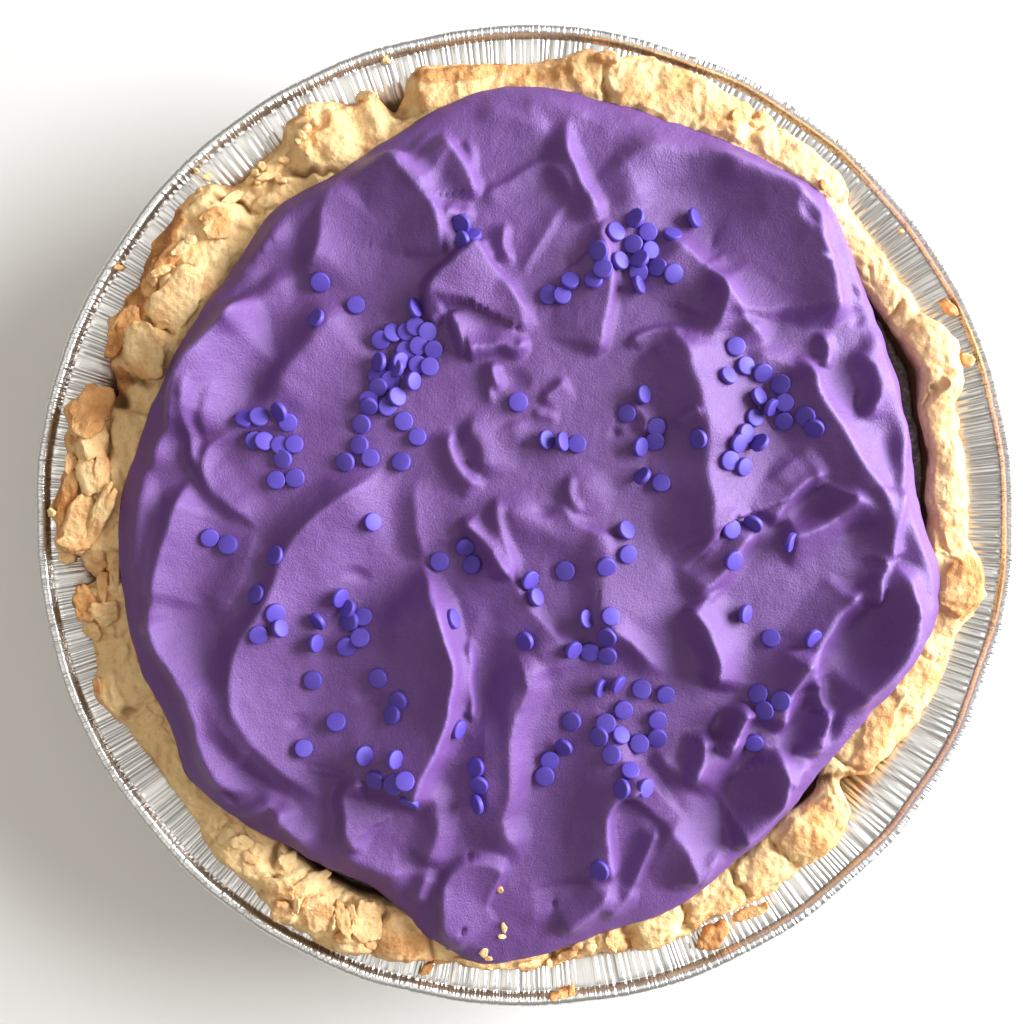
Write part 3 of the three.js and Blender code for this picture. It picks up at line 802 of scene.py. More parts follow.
    ("tall_south_crest", [(422, 556), (428, 575), (436, 598), (442, 620), (447, 640), (455, 658),
     (456, 676), (451, 700), (446, 724), (436, 745), (427, 768), (417, 796), (412, 820)],
     7.0, 4.5, 28, .24, .12),
    ("tall_south_step", [(472, 640), (475, 662), (473, 686), (475, 705), (471, 724)],
     2.6, 1.6, 3, .15, .15),
    ("tall_south_foot", [(434, 768), (439, 800), (437, 830), (428, 858), (418, 874)],
     2.0, 4, 5, .3, .2),
    ("south_wave", [(512, 640), (524, 668), (530, 690), (520, 714), (514, 738), (513, 770), (509, 800),
     (505, 822), (516, 844), (526, 866)], 3.4, 4, 9, .2, .15),
    ("south_wave_groove", [(490, 700), (488, 740), (487, 790), (492, 820)], 1.2, 3, 5, .3, .3),
    ("south_wave_slope", [(532, 636), (538, 660), (540, 684)], 1.8, 12, 6, .35, .35),
    ("long_groove", [(483, 542), (509, 575), (532, 609), (560, 644), (588, 662)], 1.6, 2.5, 9, .2, .3),
    ("fan_crest", [(655, 775), (632, 788), (614, 804), (607, 822), (608, 848), (613, 872), (616, 890)],
     3.2, 2.2, 20, .15, .15),
    ("fan_top", [(655, 770), (638, 784), (622, 800)], 2.4, 17, 4, .25, .3),
    ("fan_ray", [(616, 880), (603, 898), (584, 916), (556, 934)], 2.4, 4, 6, .25, .25),
    ("fan_ray_low", [(636, 884), (622, 902), (600, 922)], 1.8, 3, 4, .25, .3),
    ("fan_rib", [(656, 826), (650, 842), (644, 858), (637, 878), (628, 894)], 1.6, 1.8, 3, .15, .2),
    ("fan_rib_east", [(655, 824), (672, 836), (687, 852), (697, 872), (700, 892)], 2.5, 6, 10, .2, .2),
    # south-east
    ("south_east_fold", [(686, 604), (704, 627), (716, 647), (719, 670), (710, 694)],
     4.4, 9, 5, .1, .2),
    ("curled_peak_east", [(746, 703), (742, 714), (736, 729), (728, 743), (717, 750)],
     4.6, 5, 4.5, .25, .2),
    ("curled_peak_west", [(704, 729), (702, 744), (700, 760), (694, 774), (682, 784)],
     3.8, 10, 5, .15, .3),
    ("curled_peak_foot", [(650, 745), (672, 765), (688, 775), (704, 789)], 1.8, 7, 5, .3, .3),
    ("bowl_crest", [(776, 745), (783, 765), (785, 790), (777, 814), (758, 834), (732, 850)],
     4.7, 5, 12, .15, .15),
    ("bowl_crest_top", [(752, 752), (770, 748), (788, 742)], 1.4, 5, 5, .3, .3),
    ("trough_crest", [(866, 588), (846, 610), (828, 630), (816, 650), (811, 672), (818, 694)],
     3.4, 5, 8, .15, .15),
    ("trough_crest_foot", [(813, 648), (800, 668), (790, 690), (783, 712), (778, 738)],
     3.4, 3.4, 11, .2, .2),
    ("trough_spike", [(828, 706), (827, 722), (822, 740), (814, 760)], 3.2, 2.2, 6, .2, .2),
    ("trough_streak", [(824, 732), (810, 746), (794, 756)], 1.6, 2, 2, .25, .3),
    ("outer_trough_crest", [(892, 556), (903, 586), (909, 614), (906, 642), (893, 668), (870, 692),
     (845, 716)], 5.0, 6, 14, .15, .15),
    ("trough_lip", [(822, 676), (819, 694), (826, 708), (838, 712)], 1.6, 2, 2, .25, .25),
    ("edge_crest_east", [(812, 762), (800, 772), (790, 786)], 2.0, 4, 4, .25, .25),
    ("edge_crest_south", [(706, 890), (712, 868), (722, 850)], 2.0, 5, 6, .25, .3),
    # the smear hanging over at the bottom
    ("lobe", [(512, 872), (500, 867), (484, 864), (466, 867), (450, 877), (442, 893), (441, 914),
     (447, 936), (461, 953)], 2.2, 13, 2.2, .06, .1),
    ("lobe_crease", [(526, 874), (538, 900), (536, 930)], 0.7, 3, 8, .3, .3),
    ("lobe_left", [(428, 872), (420, 890), (414, 905)], 1.6, 7, 4, .3, .3),
]
# Hollows pressed by the spatula: name, middle in the photograph, half its length and width mm,
# turn in degrees, depth mm
HOLLOWS = [
    ("north_east_bowl", (740, 232), 24, 15, -42, 3.6),
    ("scoop", (395, 640), 34, 14, 84, 2.8),
    ("middle_dark", (680, 480), 20, 6, 88, 0.7),
    ("south_valley", (560, 800), 22, 9, 84, 3.0),
    ("narrow_valley", (489, 690), 14, 4, 88, 2.0),
    ("south_east_bowl", (740, 800), 10, 8.5, 60, 3.8),
    ("outer_trough", (862, 645), 13, 7, 60, 3.2),
    ("small_trough", (806, 722), 5, 3.4, 60, 2.0),
    ("leaf", (810, 508), 8, 4, 30, 2.0),
    ("oval", (868, 396), 5, 1.8, 62, 1.1),
    ("dimple", (862, 317), 2.6, 1.6, 60, 1.4),
    ("slit_east", (856, 291), 2.6, 0.9, -62, 1.4),
    ("slit_north_east", (826, 262), 2.4, 0.7, -30, 1.2),
    ("curl_notch", (809, 218), 3.4, 2.0, -60, 2.0),
    ("edge_hollow", (893, 452), 8, 3, 84, 1.8),
    ("crescent_hollow", (467, 446), 5.5, 2.6, -62, 1.2),
    ("triangle", (468, 552), 7, 4, 60, 1.6),
    ("fold_hollow", (405, 205), 12, 6, 75, 0.7),
    ("levee_valley", (268, 360), 16, 4, 55, 1.2),
    ("lobe_hole", (461, 929), 0.9, 0.6, 60, 1.6),
    ("lobe_pit", (471, 860), 0.8, 0.6, 0, 1.6),
    ("lobe_pit_low", (555, 905), 0.6, 0.6, 0, 1.4),
    ("slit_south_west", (229, 796), 2.8, 0.9, -60, 1.8),
    ("bubble", (355, 577), 3.0, 1.6, 0, 0.9),
    ("dent_west", (297, 722), 2.0, 1.8, 0, 0.9),
    ("oval_south_west", (367, 697), 4, 2, 0, 0.7),
    ("pin_hole_middle", (618, 434), 1.2, 1.0, 0, 1.2),
    ("pit_north", (514, 376), 3.2, 2.6, 0, 1.2),
    ("pin_hole_east", (735, 517), 1.2, 0.8, 60, 1.6),
    ("dent_east", (850, 532), 1.6, 1.2, 60, 0.7),
    ("swirl_mound", (588, 494), 5.5, 5, 0, -1.7),
    ("dot_middle", (545, 513), 2.4, 1.6, 0, 0.8),
    ("curled_peak_hollow", (721, 730), 4.4, 2.6, 70, 1.4),
    ("trough_pocket", (836, 728), 4, 1.8, 75, 2.4),
    ("fan_hollow", (628, 850), 8, 3, 85, 0.8),
    ("fan_hollow_east", (672, 872), 7, 5, 85, 0.9),
]


def on_cream(points):
    """The ground plan places of points seen in the photograph on top of the cream."""
    across, down = np.array(points, float).T
    height = np.full(len(across), 38.0)
    for _ in range(3):
        x, y = place(across, down, height)
        height = 33 + 7 * quarter_round(np.clip((98 - np.hypot(x, y)) / 30, 0, 1))
    return np.stack([x, y], 1)


def through(points, spacing=1.5):
    """A smooth course through the points."""
    ends = np.vstack([2 * points[0] - points[1], points, 2 * points[-1] - points[-2]])
    course = []
    for a, b, c, d in zip(ends, ends[1:], ends[2:], ends[3:]):
        t = np.linspace(0, 1, int(np.hypot(*(c - b)) / spacing) + 2, endpoint=False)[:, None]
        course.append(0.5 * (2 * b + (c - a) * t + (2 * a - 5 * b + 4 * c - d) * t ** 2
                             + (3 * b - a - 3 * c + d) * t ** 3))
    return np.vstack(course + [points[-1:]])


def beside(x, y, course):
    """Distance to the course, which side (1 on the right hand, -1 on the left) and how far along."""
    starts, spans = course[:-1], np.diff(course, axis=0)
    lengths = np.hypot(*spans.T)
    before = np.concatenate([[0], np.cumsum(lengths)])
    nearest, side, along = np.full(x.shape, np.inf), np.zeros(x.shape), np.zeros(x.shape)
    for (ax, ay), (dx, dy), length, passed in zip(starts, spans, lengths, before):
        t = np.clip(((x - ax) * dx + (y - ay) * dy) / length ** 2, 0, 1)
        ex, ey = x - ax - t * dx, y - ay - t * dy
        distance = ex * ex + ey * ey
        closer = distance < nearest
        nearest = np.where(closer, distance, nearest)
        side = np.where(closer, dy * ex - dx * ey, side)
        along = np.where(closer, passed + t * length, along)
    return np.sqrt(nearest), np.sign(side), along / before[-1]


def cream_relief(x, y):
    """Height of the spatula work in mm above the plain dome, and a painted highlight along the sharp
    crests.
    """
    wx = x + 0.7 * swells(x, y, 10, 51) + 0.25 * swells(x, y, 3.5, 52)
    wy = y + 0.7 * swells(x, y, 10, 53) + 0.25 * swells(x, y, 3.5, 54)
    relief, crest = np.zeros(x.shape), np.zeros(x.shape)
    for k, (name, points, rise, left, right, start, end) in enumerate(RIDGES):
        course = through(on_cream(points))
        margin = max(left, right) + 1
        (low_x, low_y), (high_x, high_y) = course.min(0) - margin, course.max(0) + margin
        near = (wx > low_x) & (wx < high_x) & (wy > low_y) & (wy < high_y)
        away, side, along = beside(wx[near], wy[near], course)
        fade = smooth(0, start, along) * smooth(1, 1 - end, along)
        uneven = 1 + 0.2 * swells(wx[near] + 40 * k, wy[near], 11, 55)
        reach = np.where(side > 0, right, left) * (0.35 + 0.65 * fade)
        soft = name in SOFT_RIDGES
        round_top = SOFT_TOP if soft else SHARP_TOP
        q = np.clip((np.sqrt(away ** 2 + round_top ** 2) - 0.7 * round_top) / reach, 0, 1)
        bend = np.where(side > 0, PLANE if right > BROAD else RIGHT_HOLLOW,
                        PLANE if name in PLANES else LEFT_HOLLOW)
        relief[near] += RELIEF * rise * fade * uneven * (1 - q) ** bend
        if not soft:
            # painted highlight: the sharp crests are marked to take a lighter colour
            thin = fade * min(1, rise / 4) * np.exp(-(away / 0.7) ** 2)
            crest[near] = np.maximum(crest[near], thin)
    for _, middle, half_length, half_width, turn, depth in HOLLOWS:
        (mx, my), = on_cream([middle])
        c, s = cos_sin(turn)
        u = ((wx - mx) * c + (wy - my) * s) / half_length
        v = ((wy - my) * c - (wx - mx) * s) / half_width
        relief -= depth * (1 - np.clip((u * u + v * v) / HOLLOW_END, 0, 1)) ** 2
    for height, size, seed in ((0.4, 12, 56), (0.12, 3.6, 57), (0.05, 1.3, 58)):
        relief += height * swells(wx, wy, size, seed)
    return relief, crest


def cream_edge(x, y):
    """Distance in mm of the cream's edge from the middle, in the direction of each point."""
    ragged = 2.0 * swells(x, y, 6, 59) + 0.8 * swells(x, y, 2.6, 60)
    edge = round_table(CREAM_EDGE, np.degrees(np.arctan2(y, x)))
    return px_to_mm(edge + ragged, CREAM_EDGE_HEIGHT)


def cream_height(x, y):
    """Height above the table of the top of the cream, and the painted highlight along the sharp crests."""
    r, edge = np.hypot(x, y), cream_edge(x, y)
    inward = np.clip((edge - r) / CREAM_SHOULDER, 0, 1)
    dome = (CREAM_EDGE_HEIGHT + SHOULDER_RISE * quarter_round(inward)
            + DOME_RISE * np.clip(1 - (r / DOME_REACH) ** 2, 0, 1))
    relief, crest = cream_relief(x, y)
    return dome + relief * smooth(-0.5, 6, edge - r), crest


def square_to_disc(a, b):
    """Share of the way out and angle of a square grid's points, when it is drawn out into a disc."""
    wide = abs(a) > abs(b)
    far = np.where(wide, a, b)
    small = np.where(wide, b, a)
    turn = math.pi / 4 * small / np.where(far == 0, 1, far)
    turn = np.where(wide, turn, math.pi / 2 - turn)
    x, y = far * np.cos(turn), far * np.sin(turn)
    return np.hypot(x, y), np.arctan2(y, x)


def cream_shape():
    """A square grid drawn out into a disc, its border rolled down and under to the crust."""
    bm = bmesh.new()
    bmesh.ops.create_grid(bm, x_segments=CREAM_CELLS, y_segments=CREAM_CELLS, size=1)
    co = np.array([v.co for v in bm.verts])
    s, angle = square_to_disc(co[:, 0], co[:, 1])
    cx, cy = np.cos(angle), np.sin(angle)
    edge = cream_edge(90 * cx, 90 * cy)

    # the top, and the shoulder that bends down at its edge
    way = s / TOP_SHARE * (edge - CREAM_SHOULDER + SHOULDER_ARC)
    flat = way < edge - CREAM_SHOULDER
    turned = np.clip((way - (edge - CREAM_SHOULDER)) / SHOULDER_ARC, 0, 1) * math.pi / 2
    r = np.where(flat, way, edge - CREAM_SHOULDER * (1 - np.sin(turned)))
    z, crest = cream_height(r * cx, r * cy)

    # the border goes down to its foot and tucks under
    degrees = np.degrees(angle)
    over = smooth(-6, 6, round_table(CREAM_EDGE, degrees) - round_table(CRUST_INNER, degrees))
    foot = FOOT_IN_GAP * (1 - over) + FOOT_ON_CRUST * over
    down = CREAM_EDGE_HEIGHT + (foot - CREAM_EDGE_HEIGHT) * (s - TOP_SHARE) / (1 - TOP_SHARE)
    z = np.where(s > TOP_SHARE, down, z)
    r = r - (2.0 + 2.5 * (1 - over)) * smooth(TOP_SHARE, 1, s) ** 1.6
    move(bm, r * cx, r * cy, z)
    # painted highlight along the sharp crests, for the material
    mark(bm, "crest", crest)

    # two rows further in, below the crust's edge, and a flat underside
    rim = [e for e in bm.edges if e.is_boundary]
    for inward, height in ((4.5, 24.0), (9, 22.8)):
        made = bmesh.ops.extrude_edge_only(bm, edges=rim)["geom"]
        rim = [g for g in made if isinstance(g, bmesh.types.BMEdge)]
        for v in [g for g in made if isinstance(g, bmesh.types.BMVert)]:
            towards = math.degrees(math.atan2(v.co.y, v.co.x))
            limit = float(inner_edge(towards)) - inward
            shrink = min(1, limit / 1000 / math.hypot(v.co.x, v.co.y))
            v.co = (v.co.x * shrink, v.co.y * shrink, height / 1000)
    bmesh.ops.contextual_create(bm, geom=rim)
    return bm


def cream_material():
    material, tree = new_material("whipped_ube_cream")
    spot = add(tree, "TexCoord").outputs["Object"]
    crest = add(tree, "Attribute", {"attribute_name": "crest"})
    cloud = add(tree, "TexNoise", {"Scale": every_mm(14), "Detail": 3}, {"Vector": spot})
    body = add(tree, "Mix",
               {"data_type": "RGBA", 6: colour("#643d7c"), 7: colour("#6e4786")},
               {0: cloud.outputs["Fac"]})
    # Painted highlight: the cream is mixed towards a pale lilac along the sharp crests
    thin = add(tree, "Math", {"operation": "MULTIPLY", 1: 0.22}, {0: crest.outputs["Fac"]})
    tint = add(tree, "Mix", {"data_type": "RGBA", 7: colour("#9a78c8")},
               {0: thin.outputs[0], 6: body.outputs[2]})
    drag = add(tree, "TexNoise",
               {"Scale": every_mm(1.7), "Detail": 4, "Roughness": 0.6}, {"Vector": spot})
    uneven = add(tree, "Bump", {"Strength": 0.3, "Distance": 0.0006},
                 {"Height": drag.outputs["Fac"]})
    grain = add(tree, "TexNoise",
                {"Scale": every_mm(0.45), "Detail": 3, "Roughness": 0.7}, {"Vector": spot})
    bump = add(tree, "Bump", {"Strength": 0.6, "Distance": 0.0004},
               {"Height": grain.outputs["Fac"], "Normal": uneven.outputs["Normal"]})
    shader = add(tree, "BsdfPrincipled", {"Roughness": 0.5, "Specular IOR Level": 0.45},
                 {"Base Color": tint.outputs[2], "Normal": bump.outputs["Normal"]})
    add(tree, "OutputMaterial", {}, {"Surface": shader.outputs["BSDF"]})
    return material


CREAM = piece(cream_shape(), "cream", cream_material(), "whipped_cream")


# --- Flakes and crumbs ---
# Torn flakes of the same shortcrust that lie on the crust, and crumbs that fell from it.

# Flakes larger than this, in mm, have a finer mesh and their full unevenness
FLAKE_SIZE = 1.6
# Steepest that a flake follows the ground
STEEPEST = 0.45
# Height of the ground where none of the pieces is below
BARE_GROUND = 28

# Place in the photograph, half length and half width in pixels, turn in degrees, thickness mm,
# how far it is sunk as a share of that, baked colour (kept low on the lower left, as painted light)
FLAKES = [
    # west: leaves of dough, one over another
    (93, 410, 19, 24, 0, 1.8, 0.3, 0.55), (94, 391, 7, 7, 0, 2.0, 0.2, 0.3),
    (77, 424, 7, 14, 5, 1.8, 0.2, 0.4), (95, 438, 12, 20, -8, 1.8, 0.0, 0.15),
    (92, 474, 14, 21, 6, 1.8, 0.1, 0.2), (103, 468, 6, 24, 0, 1.6, -0.4, 0.15),
    (81, 520, 13, 32, -14, 1.8, 0.1, 0.25), (103, 513, 34, 8, 62, 1.7, -0.5, 0.1),
    (70, 500, 10, 27, -5, 1.4, 0.2, 0.7), (72, 464, 6, 11, 0, 1.5, 0.1, 0.4),
    (55, 513, 5, 5, 0, 2.0, 0.0, 0.1), (75, 544, 14, 8, -12, 2.0, 0.1, 0.3),
    (69, 557, 10, 8, 10, 2.2, 0.1, 0.05), (96, 560, 13, 19, 4, 2.0, 0.25, 0.15),
    (116, 574, 5, 22, 3, 1.6, 0.3, 0.1), (104, 586, 7, 15, 8, 1.6, 0.3, 0.2),
    (86, 604, 12, 19, 8, 1.8, 0.2, 0.7), (106, 613, 14, 13, 0, 2.4, 0.3, 0.15),
    (92, 630, 13, 9, -30, 1.8, 0.4, 0.25), (99, 684, 5, 8, 10, 1.8, 0.3, 0.5),
    # north-west: a tan edge with torn pale plates over it
    (144, 351, 24, 26, 20, 2.2, 0.3, 0.12), (178, 300, 21, 34, -38, 1.8, 0.4, 0.08),
    (124, 330, 12, 30, -28, 1.6, 0.5, 0.65), (162, 271, 12, 5, 25, 1.8, 0.1, 0.2),
    (154, 279, 6, 7, 0, 1.6, 0.2, 0.35), (185, 247, 13, 5, 35, 1.8, 0.1, 0.15),
    (192, 241, 6, 5, 0, 1.8, 0.1, 0.1), (172, 258, 26, 9, 42, 1.3, 0.4, 0.6),
    (149, 287, 9, 13, -30, 1.6, 0.4, 0.5), (217, 228, 12, 16, -40, 1.8, 0.35, 0.25),
    (214, 215, 13, 8, 30, 1.5, 0.3, 0.45), (232, 199, 14, 5, 40, 1.5, 0.3, 0.1),
    (270, 178, 11, 4, 20, 1.8, 0.0, 0.1), (256, 174, 5, 4, 0, 2.0, 0.0, 0.0),
    (263, 167, 4, 5, 0, 1.8, 0.0, 0.05), (251, 182, 5, 4, 30, 1.8, 0.0, 0.0),
    (281, 181, 7, 4, -20, 1.8, 0.0, 0.0), (259, 183, 3, 3, 0, 1.6, 0.0, 0.0),
    (303, 137, 4, 6, 30, 2.2, 0.0, 0.0), (308, 129, 6, 3, 45, 2.2, 0.0, 0.0),
    (315, 124, 4, 3, 0, 1.8, 0.0, 0.0), (299, 143, 3, 3, 0, 1.6, 0.0, 0.0),
    (285, 162, 6, 3, 0, 1.8, 0.1, 0.0), (309, 153, 3, 5, -20, 2.0, 0.0, 0.0),
    (365, 97, 10, 5, 0, 2.4, 0.2, 0.15), (306, 112, 8, 6, 0, 2.0, 0.3, 0.4),
    # north and north-east
    (607, 60, 12, 7, -10, 2.4, 0.2, 0.5), (822, 185, 4, 5, 0, 1.8, 0.3, 0.7),
    (735, 114, 3, 7, -30, 1.2, 0.3, 0.45), (760, 114, 3, 7, -35, 1.2, 0.3, 0.4),
    (948, 308, 5, 11, 40, 2.0, 0.1, 0.5), (966, 360, 8, 6, -40, 2.0, 0.2, 0.15),
    # south-east: crumbs and flakes at the edge
    (747, 912, 21, 5, 22, 1.6, 0.1, 0.45), (762, 906, 7, 3, 40, 1.6, 0.1, 0.5),
    (711, 934, 15, 9, 28, 3.4, 0.1, 0.85), (703, 942, 7, 5, 0, 2.6, 0.2, 0.7),
    (720, 925, 7, 6, 40, 2.6, 0.0, 0.75), (613, 938, 7, 11, 0, 1.8, 0.3, 0.1),
    (567, 953, 10, 5, 25, 1.8, 0.1, 0.4), (556, 960, 5, 4, 0, 1.8, 0.1, 0.45),
    (577, 945, 6, 4, 20, 1.8, 0.1, 0.5), (549, 962, 3, 5, 0, 1.6, 0.1, 0.3),
    (590, 946, 6, 5, 0, 1.8, 0.2, 0.15), (562, 991, 9, 3.5, 8, 2.0, 0.1, 0.6),
    (553, 993, 4, 3, 0, 1.8, 0.1, 0.7), (571, 989, 4, 4.5, 0, 1.8, 0.1, 0.6),
    (528, 963, 11, 3, 6, 1.4, 0.2, 0.1), (427, 967, 9, 4, 42, 1.6, 0.1, 0.6),
    (442, 962, 9, 3, 8, 1.5, 0.2, 0.15), (472, 962, 18, 3.5, -14, 1.4, 0.3, 0.2),
    # south-west: folded plates with torn edges
    (278, 886, 20, 9, -12, 1.7, 0.4, 0.1), (312, 884, 19, 9, 10, 1.8, 0.3, 0.1),
    (319, 914, 16, 16, 25, 1.6, 0.5, 0.15), (282, 911, 12, 11, -20, 1.6, 0.5, 0.15),
    (297, 903, 4, 10, 8, 1.5, 0.2, 0.1), (312, 903, 9, 7, 10, 1.5, 0.3, 0.1),
    (344, 920, 8, 18, 22, 1.6, 0.3, 0.15), (353, 914, 4, 11, 20, 1.4, 0.2, 0.1),
    (367, 924, 16, 22, 15, 1.7, 0.5, 0.15), (372, 942, 8, 7, 0, 1.5, 0.4, 0.4),
    (343, 937, 9, 6, 0, 1.6, 0.4, 0.3), (287, 861, 9, 8, 0, 1.8, 0.5, 0.0),
    (306, 865, 8, 5, 20, 1.6, 0.4, 0.0), (313, 870, 4, 3, 0, 1.4, 0.3, 0.0),
    (242, 843, 13, 8, -30, 1.7, 0.55, 0.0), (258, 851, 9, 6, -35, 1.6, 0.5, 0.0),
    (250, 858, 9, 4, -35, 1.4, 0.5, 0.2),
    # crumbs on the tin and on the cream
    (120, 268, 4, 3.5, 0, 1.8, 0.1, 0.3), (208, 178, 5, 3, 20, 1.2, 0.1, 0.05),
    (200, 190, 3, 2, 0, 1.0, 0.1, 0.1), (197, 172, 2.5, 2.5, 0, 1.0, 0.1, 0.05),
    (386, 62, 4, 3, 0, 1.4, 0.1, 0.0), (500, 890, 3, 4, 0, 1.0, 0.6, 0.15),
    (504, 928, 3, 6, 10, 1.0, 0.65, 0.15), (502, 936, 4, 3, 0, 1.0, 0.65, 0.15),
    (484, 952, 5, 6, 0, 0.9, 0.65, 0.1), (489, 957, 4, 3, 0, 0.9, 0.65, 0.1),
    (900, 232, 3, 2.5, 0, 1.2, 0.1, 0.1),
]


def ground_at(x, y):
    """Height in mm of the crust, tin or cream at a place, whichever is on top."""
    hits = [thing.ray_cast((x / 1000, y / 1000, 0.1), (0, 0, -1)) for thing in (CRUST, TIN, CREAM)]
    return max([spot.z * 1000 for hit, spot, *_ in hits if hit], default=BARE_GROUND)


def fitted(points):
    """Matrix that turns the ground's heights at these points into a level and two slopes."""
    return np.linalg.pinv(np.column_stack([np.ones(len(points)), points]))


def crumb_shape():
    """All the flakes and crumbs as one mesh: ragged, slightly bent plates laid on what is below."""
    chance = np.random.default_rng(17)
    bpy.context.view_layer.update()
    ring = np.array([(0, 0)] + [(0.6 * math.cos(a), 0.6 * math.sin(a))
                                for a in np.arange(8) * math.tau / 8])
    fit = fitted(ring)
    bm = bmesh.new()
    shades = []
    for k, (across, down, half_length, half_width, turn, thick, sunk, browning) in enumerate(FLAKES):
        size = np.array([px_to_mm(half_length, CROWN_HEIGHT), px_to_mm(half_width, CROWN_HEIGHT)])
        c, s = cos_sin(turn)
        base = CROWN_HEIGHT
        for _ in range(2):
            x0, y0 = place(across, down, base)
            ground = [ground_at(x0 + u * c - v * s, y0 + u * s + v * c) for u, v in ring * size]
            base, *slopes = fit @ np.array(ground)
            base = max(base, np.quantile(ground, 0.6))
        slope_u, slope_v = np.clip(slopes, -STEEPEST * size, STEEPEST * size)

        fine = 4 if size.max() > FLAKE_SIZE else 3
        made = bmesh.ops.create_icosphere(bm, subdivisions=fine, radius=1)["verts"]
        p = np.array([v.co for v in made])
        way = np.arctan2(p[:, 1], p[:, 0])
        out = np.arccos(np.clip(abs(p[:, 2]), 0, 1)) / (math.pi / 2)
        ragged = 1 + sum(share * swells(turns * np.cos(way) + k, turns * np.sin(way), 1, seed)
                         for share, turns, seed in ((0.2, 1.3, 61), (0.12, 3.1, 62), (0.07, 8, 67)))
        u, v = (size[:, None] * np.stack([np.cos(way), np.sin(way)])) * (1 - (1 - out) ** 1.5) * ragged
        w = thick / 2 * np.sign(p[:, 2]) * np.sqrt(1 - out ** 4)
        along = u + 7 * k
        w += (0.5 * swells(along, v, 3.4, 63) + 0.32 * (0.4 - abs(swells(along, v, 1.7, 64)))
              + 0.14 * swells(along, v, 0.8, 65)) * min(1, size.min() / FLAKE_SIZE)
        lean_u, lean_v = chance.normal(0, 0.07, 2)
        w += (slope_u / size[0] * 0.9 + lean_u) * u + (slope_v / size[1] * 0.9 + lean_v) * v
        z = base + thick * (0.5 - sunk) + w
        for vert, x, y, height in zip(made, x0 + u * c - v * s, y0 + u * s + v * c, z):
            vert.co = (x / 1000, y / 1000, height / 1000)
        shades += [browning] * len(made)
    co = np.array([v.co for v in bm.verts]) * 1000
    mark(bm, "browning", np.clip(shades + 0.25 * swells(co[:, 0], co[:, 1], 4, 66), 0, 1))
    mark(bm, "hollow", np.zeros(len(shades)))
    return bm


piece(crumb_shape(), "crumbs", PASTRY, "pie_crust")


# --- Sprinkles ---
# Confetti quins: smooth flat sugar discs, matt violet, rounded at the rim.

SPRINKLE_RADIUS = 2.15
SPRINKLE_THICKNESS = 1.25
SPRINKLE_ROUNDING = 0.34
# Where they lie flat in the photograph
FLAT_SPRINKLES = [
    (319, 281), (355, 304), (317, 319), (472, 235), (380, 339), (392, 332), (406, 331), (415, 326),
    (427, 331), (405, 350), (418, 345), (433, 349), (417, 364), (429, 366), (377, 375), (390, 380),
    (378, 387), (368, 400), (369, 406), (387, 406), (403, 421), (361, 424), (417, 437), (359, 445),
    (370, 458), (345, 462), (401, 462), (549, 294), (562, 295), (570, 281), (598, 253), (593, 281),
    (602, 271), (616, 231), (634, 243), (649, 230), (674, 232), (651, 249), (639, 271), (658, 267),
    (673, 274), (735, 347), (745, 366), (726, 377), (762, 373), (780, 385), (783, 403), (754, 418),
    (784, 421), (803, 417), (811, 429), (744, 434), (736, 444), (727, 461), (742, 467), (245, 419),
    (259, 417), (287, 422), (253, 440), (263, 441), (279, 445), (293, 444), (282, 459), (275, 480),
    (294, 478), (208, 538), (226, 545), (277, 555), (258, 594), (278, 612), (262, 633), (373, 522),
    (362, 618), (349, 622), (346, 647), (360, 638), (312, 681), (378, 678), (399, 699), (393, 713),
    (336, 722), (304, 748), (377, 776), (396, 778), (408, 773), (411, 797), (518, 402), (577, 444),
    (627, 413), (656, 427), (655, 441), (695, 440), (661, 483), (465, 547), (472, 565), (439, 562),
    (565, 571), (605, 566), (627, 554), (454, 618), (609, 615), (606, 635), (590, 652), (607, 655),
    (642, 690), (666, 695), (624, 711), (572, 723), (606, 724), (599, 737), (621, 736), (611, 754),
    (658, 721), (658, 739), (640, 745), (550, 763), (545, 779), (629, 768), (620, 784), (643, 783),
    (459, 728), (476, 767), (479, 784), (599, 867), (729, 529), (731, 560), (772, 639), (758, 694),
    (778, 699), (763, 709), (755, 744),
]
# Where they stand tilted or on edge
TILTED_SPRINKLES = [
    (462, 224), (463, 243), (415, 308), (379, 362), (400, 361), (396, 368), (413, 381), (397, 397),
    (636, 217), (697, 214), (620, 261), (640, 259), (639, 285), (758, 397), (770, 408), (758, 443),
    (280, 412), (283, 627), (340, 598), (347, 609), (318, 621), (316, 643), (366, 752), (398, 753),
    (546, 440), (562, 442), (643, 395), (640, 447), (642, 476), (530, 580), (536, 597), (626, 530),
    (585, 618), (573, 649), (525, 640), (600, 688), (618, 684), (564, 749), (477, 803), (751, 524),
    (788, 542), (746, 614), (810, 637),
]


def disc_mesh():
    """One sugar disc with a rounded rim, in mm."""
    one = bmesh.new()
    bmesh.ops.create_cone(one, cap_ends=True, segments=26, radius1=SPRINKLE_RADIUS,
                          radius2=SPRINKLE_RADIUS, depth=SPRINKLE_THICKNESS)
    rims = [e for e in one.edges if abs(e.verts[0].co.z - e.verts[1].co.z) < 1e-6]
    bmesh.ops.bevel(one, geom=rims, offset=SPRINKLE_ROUNDING, offset_type="OFFSET", segments=3,
                    profile=0.5, affect="EDGES", material=-1)
    disc = bpy.data.meshes.new("disc")
    one.to_mesh(disc)
    one.free()
    return disc


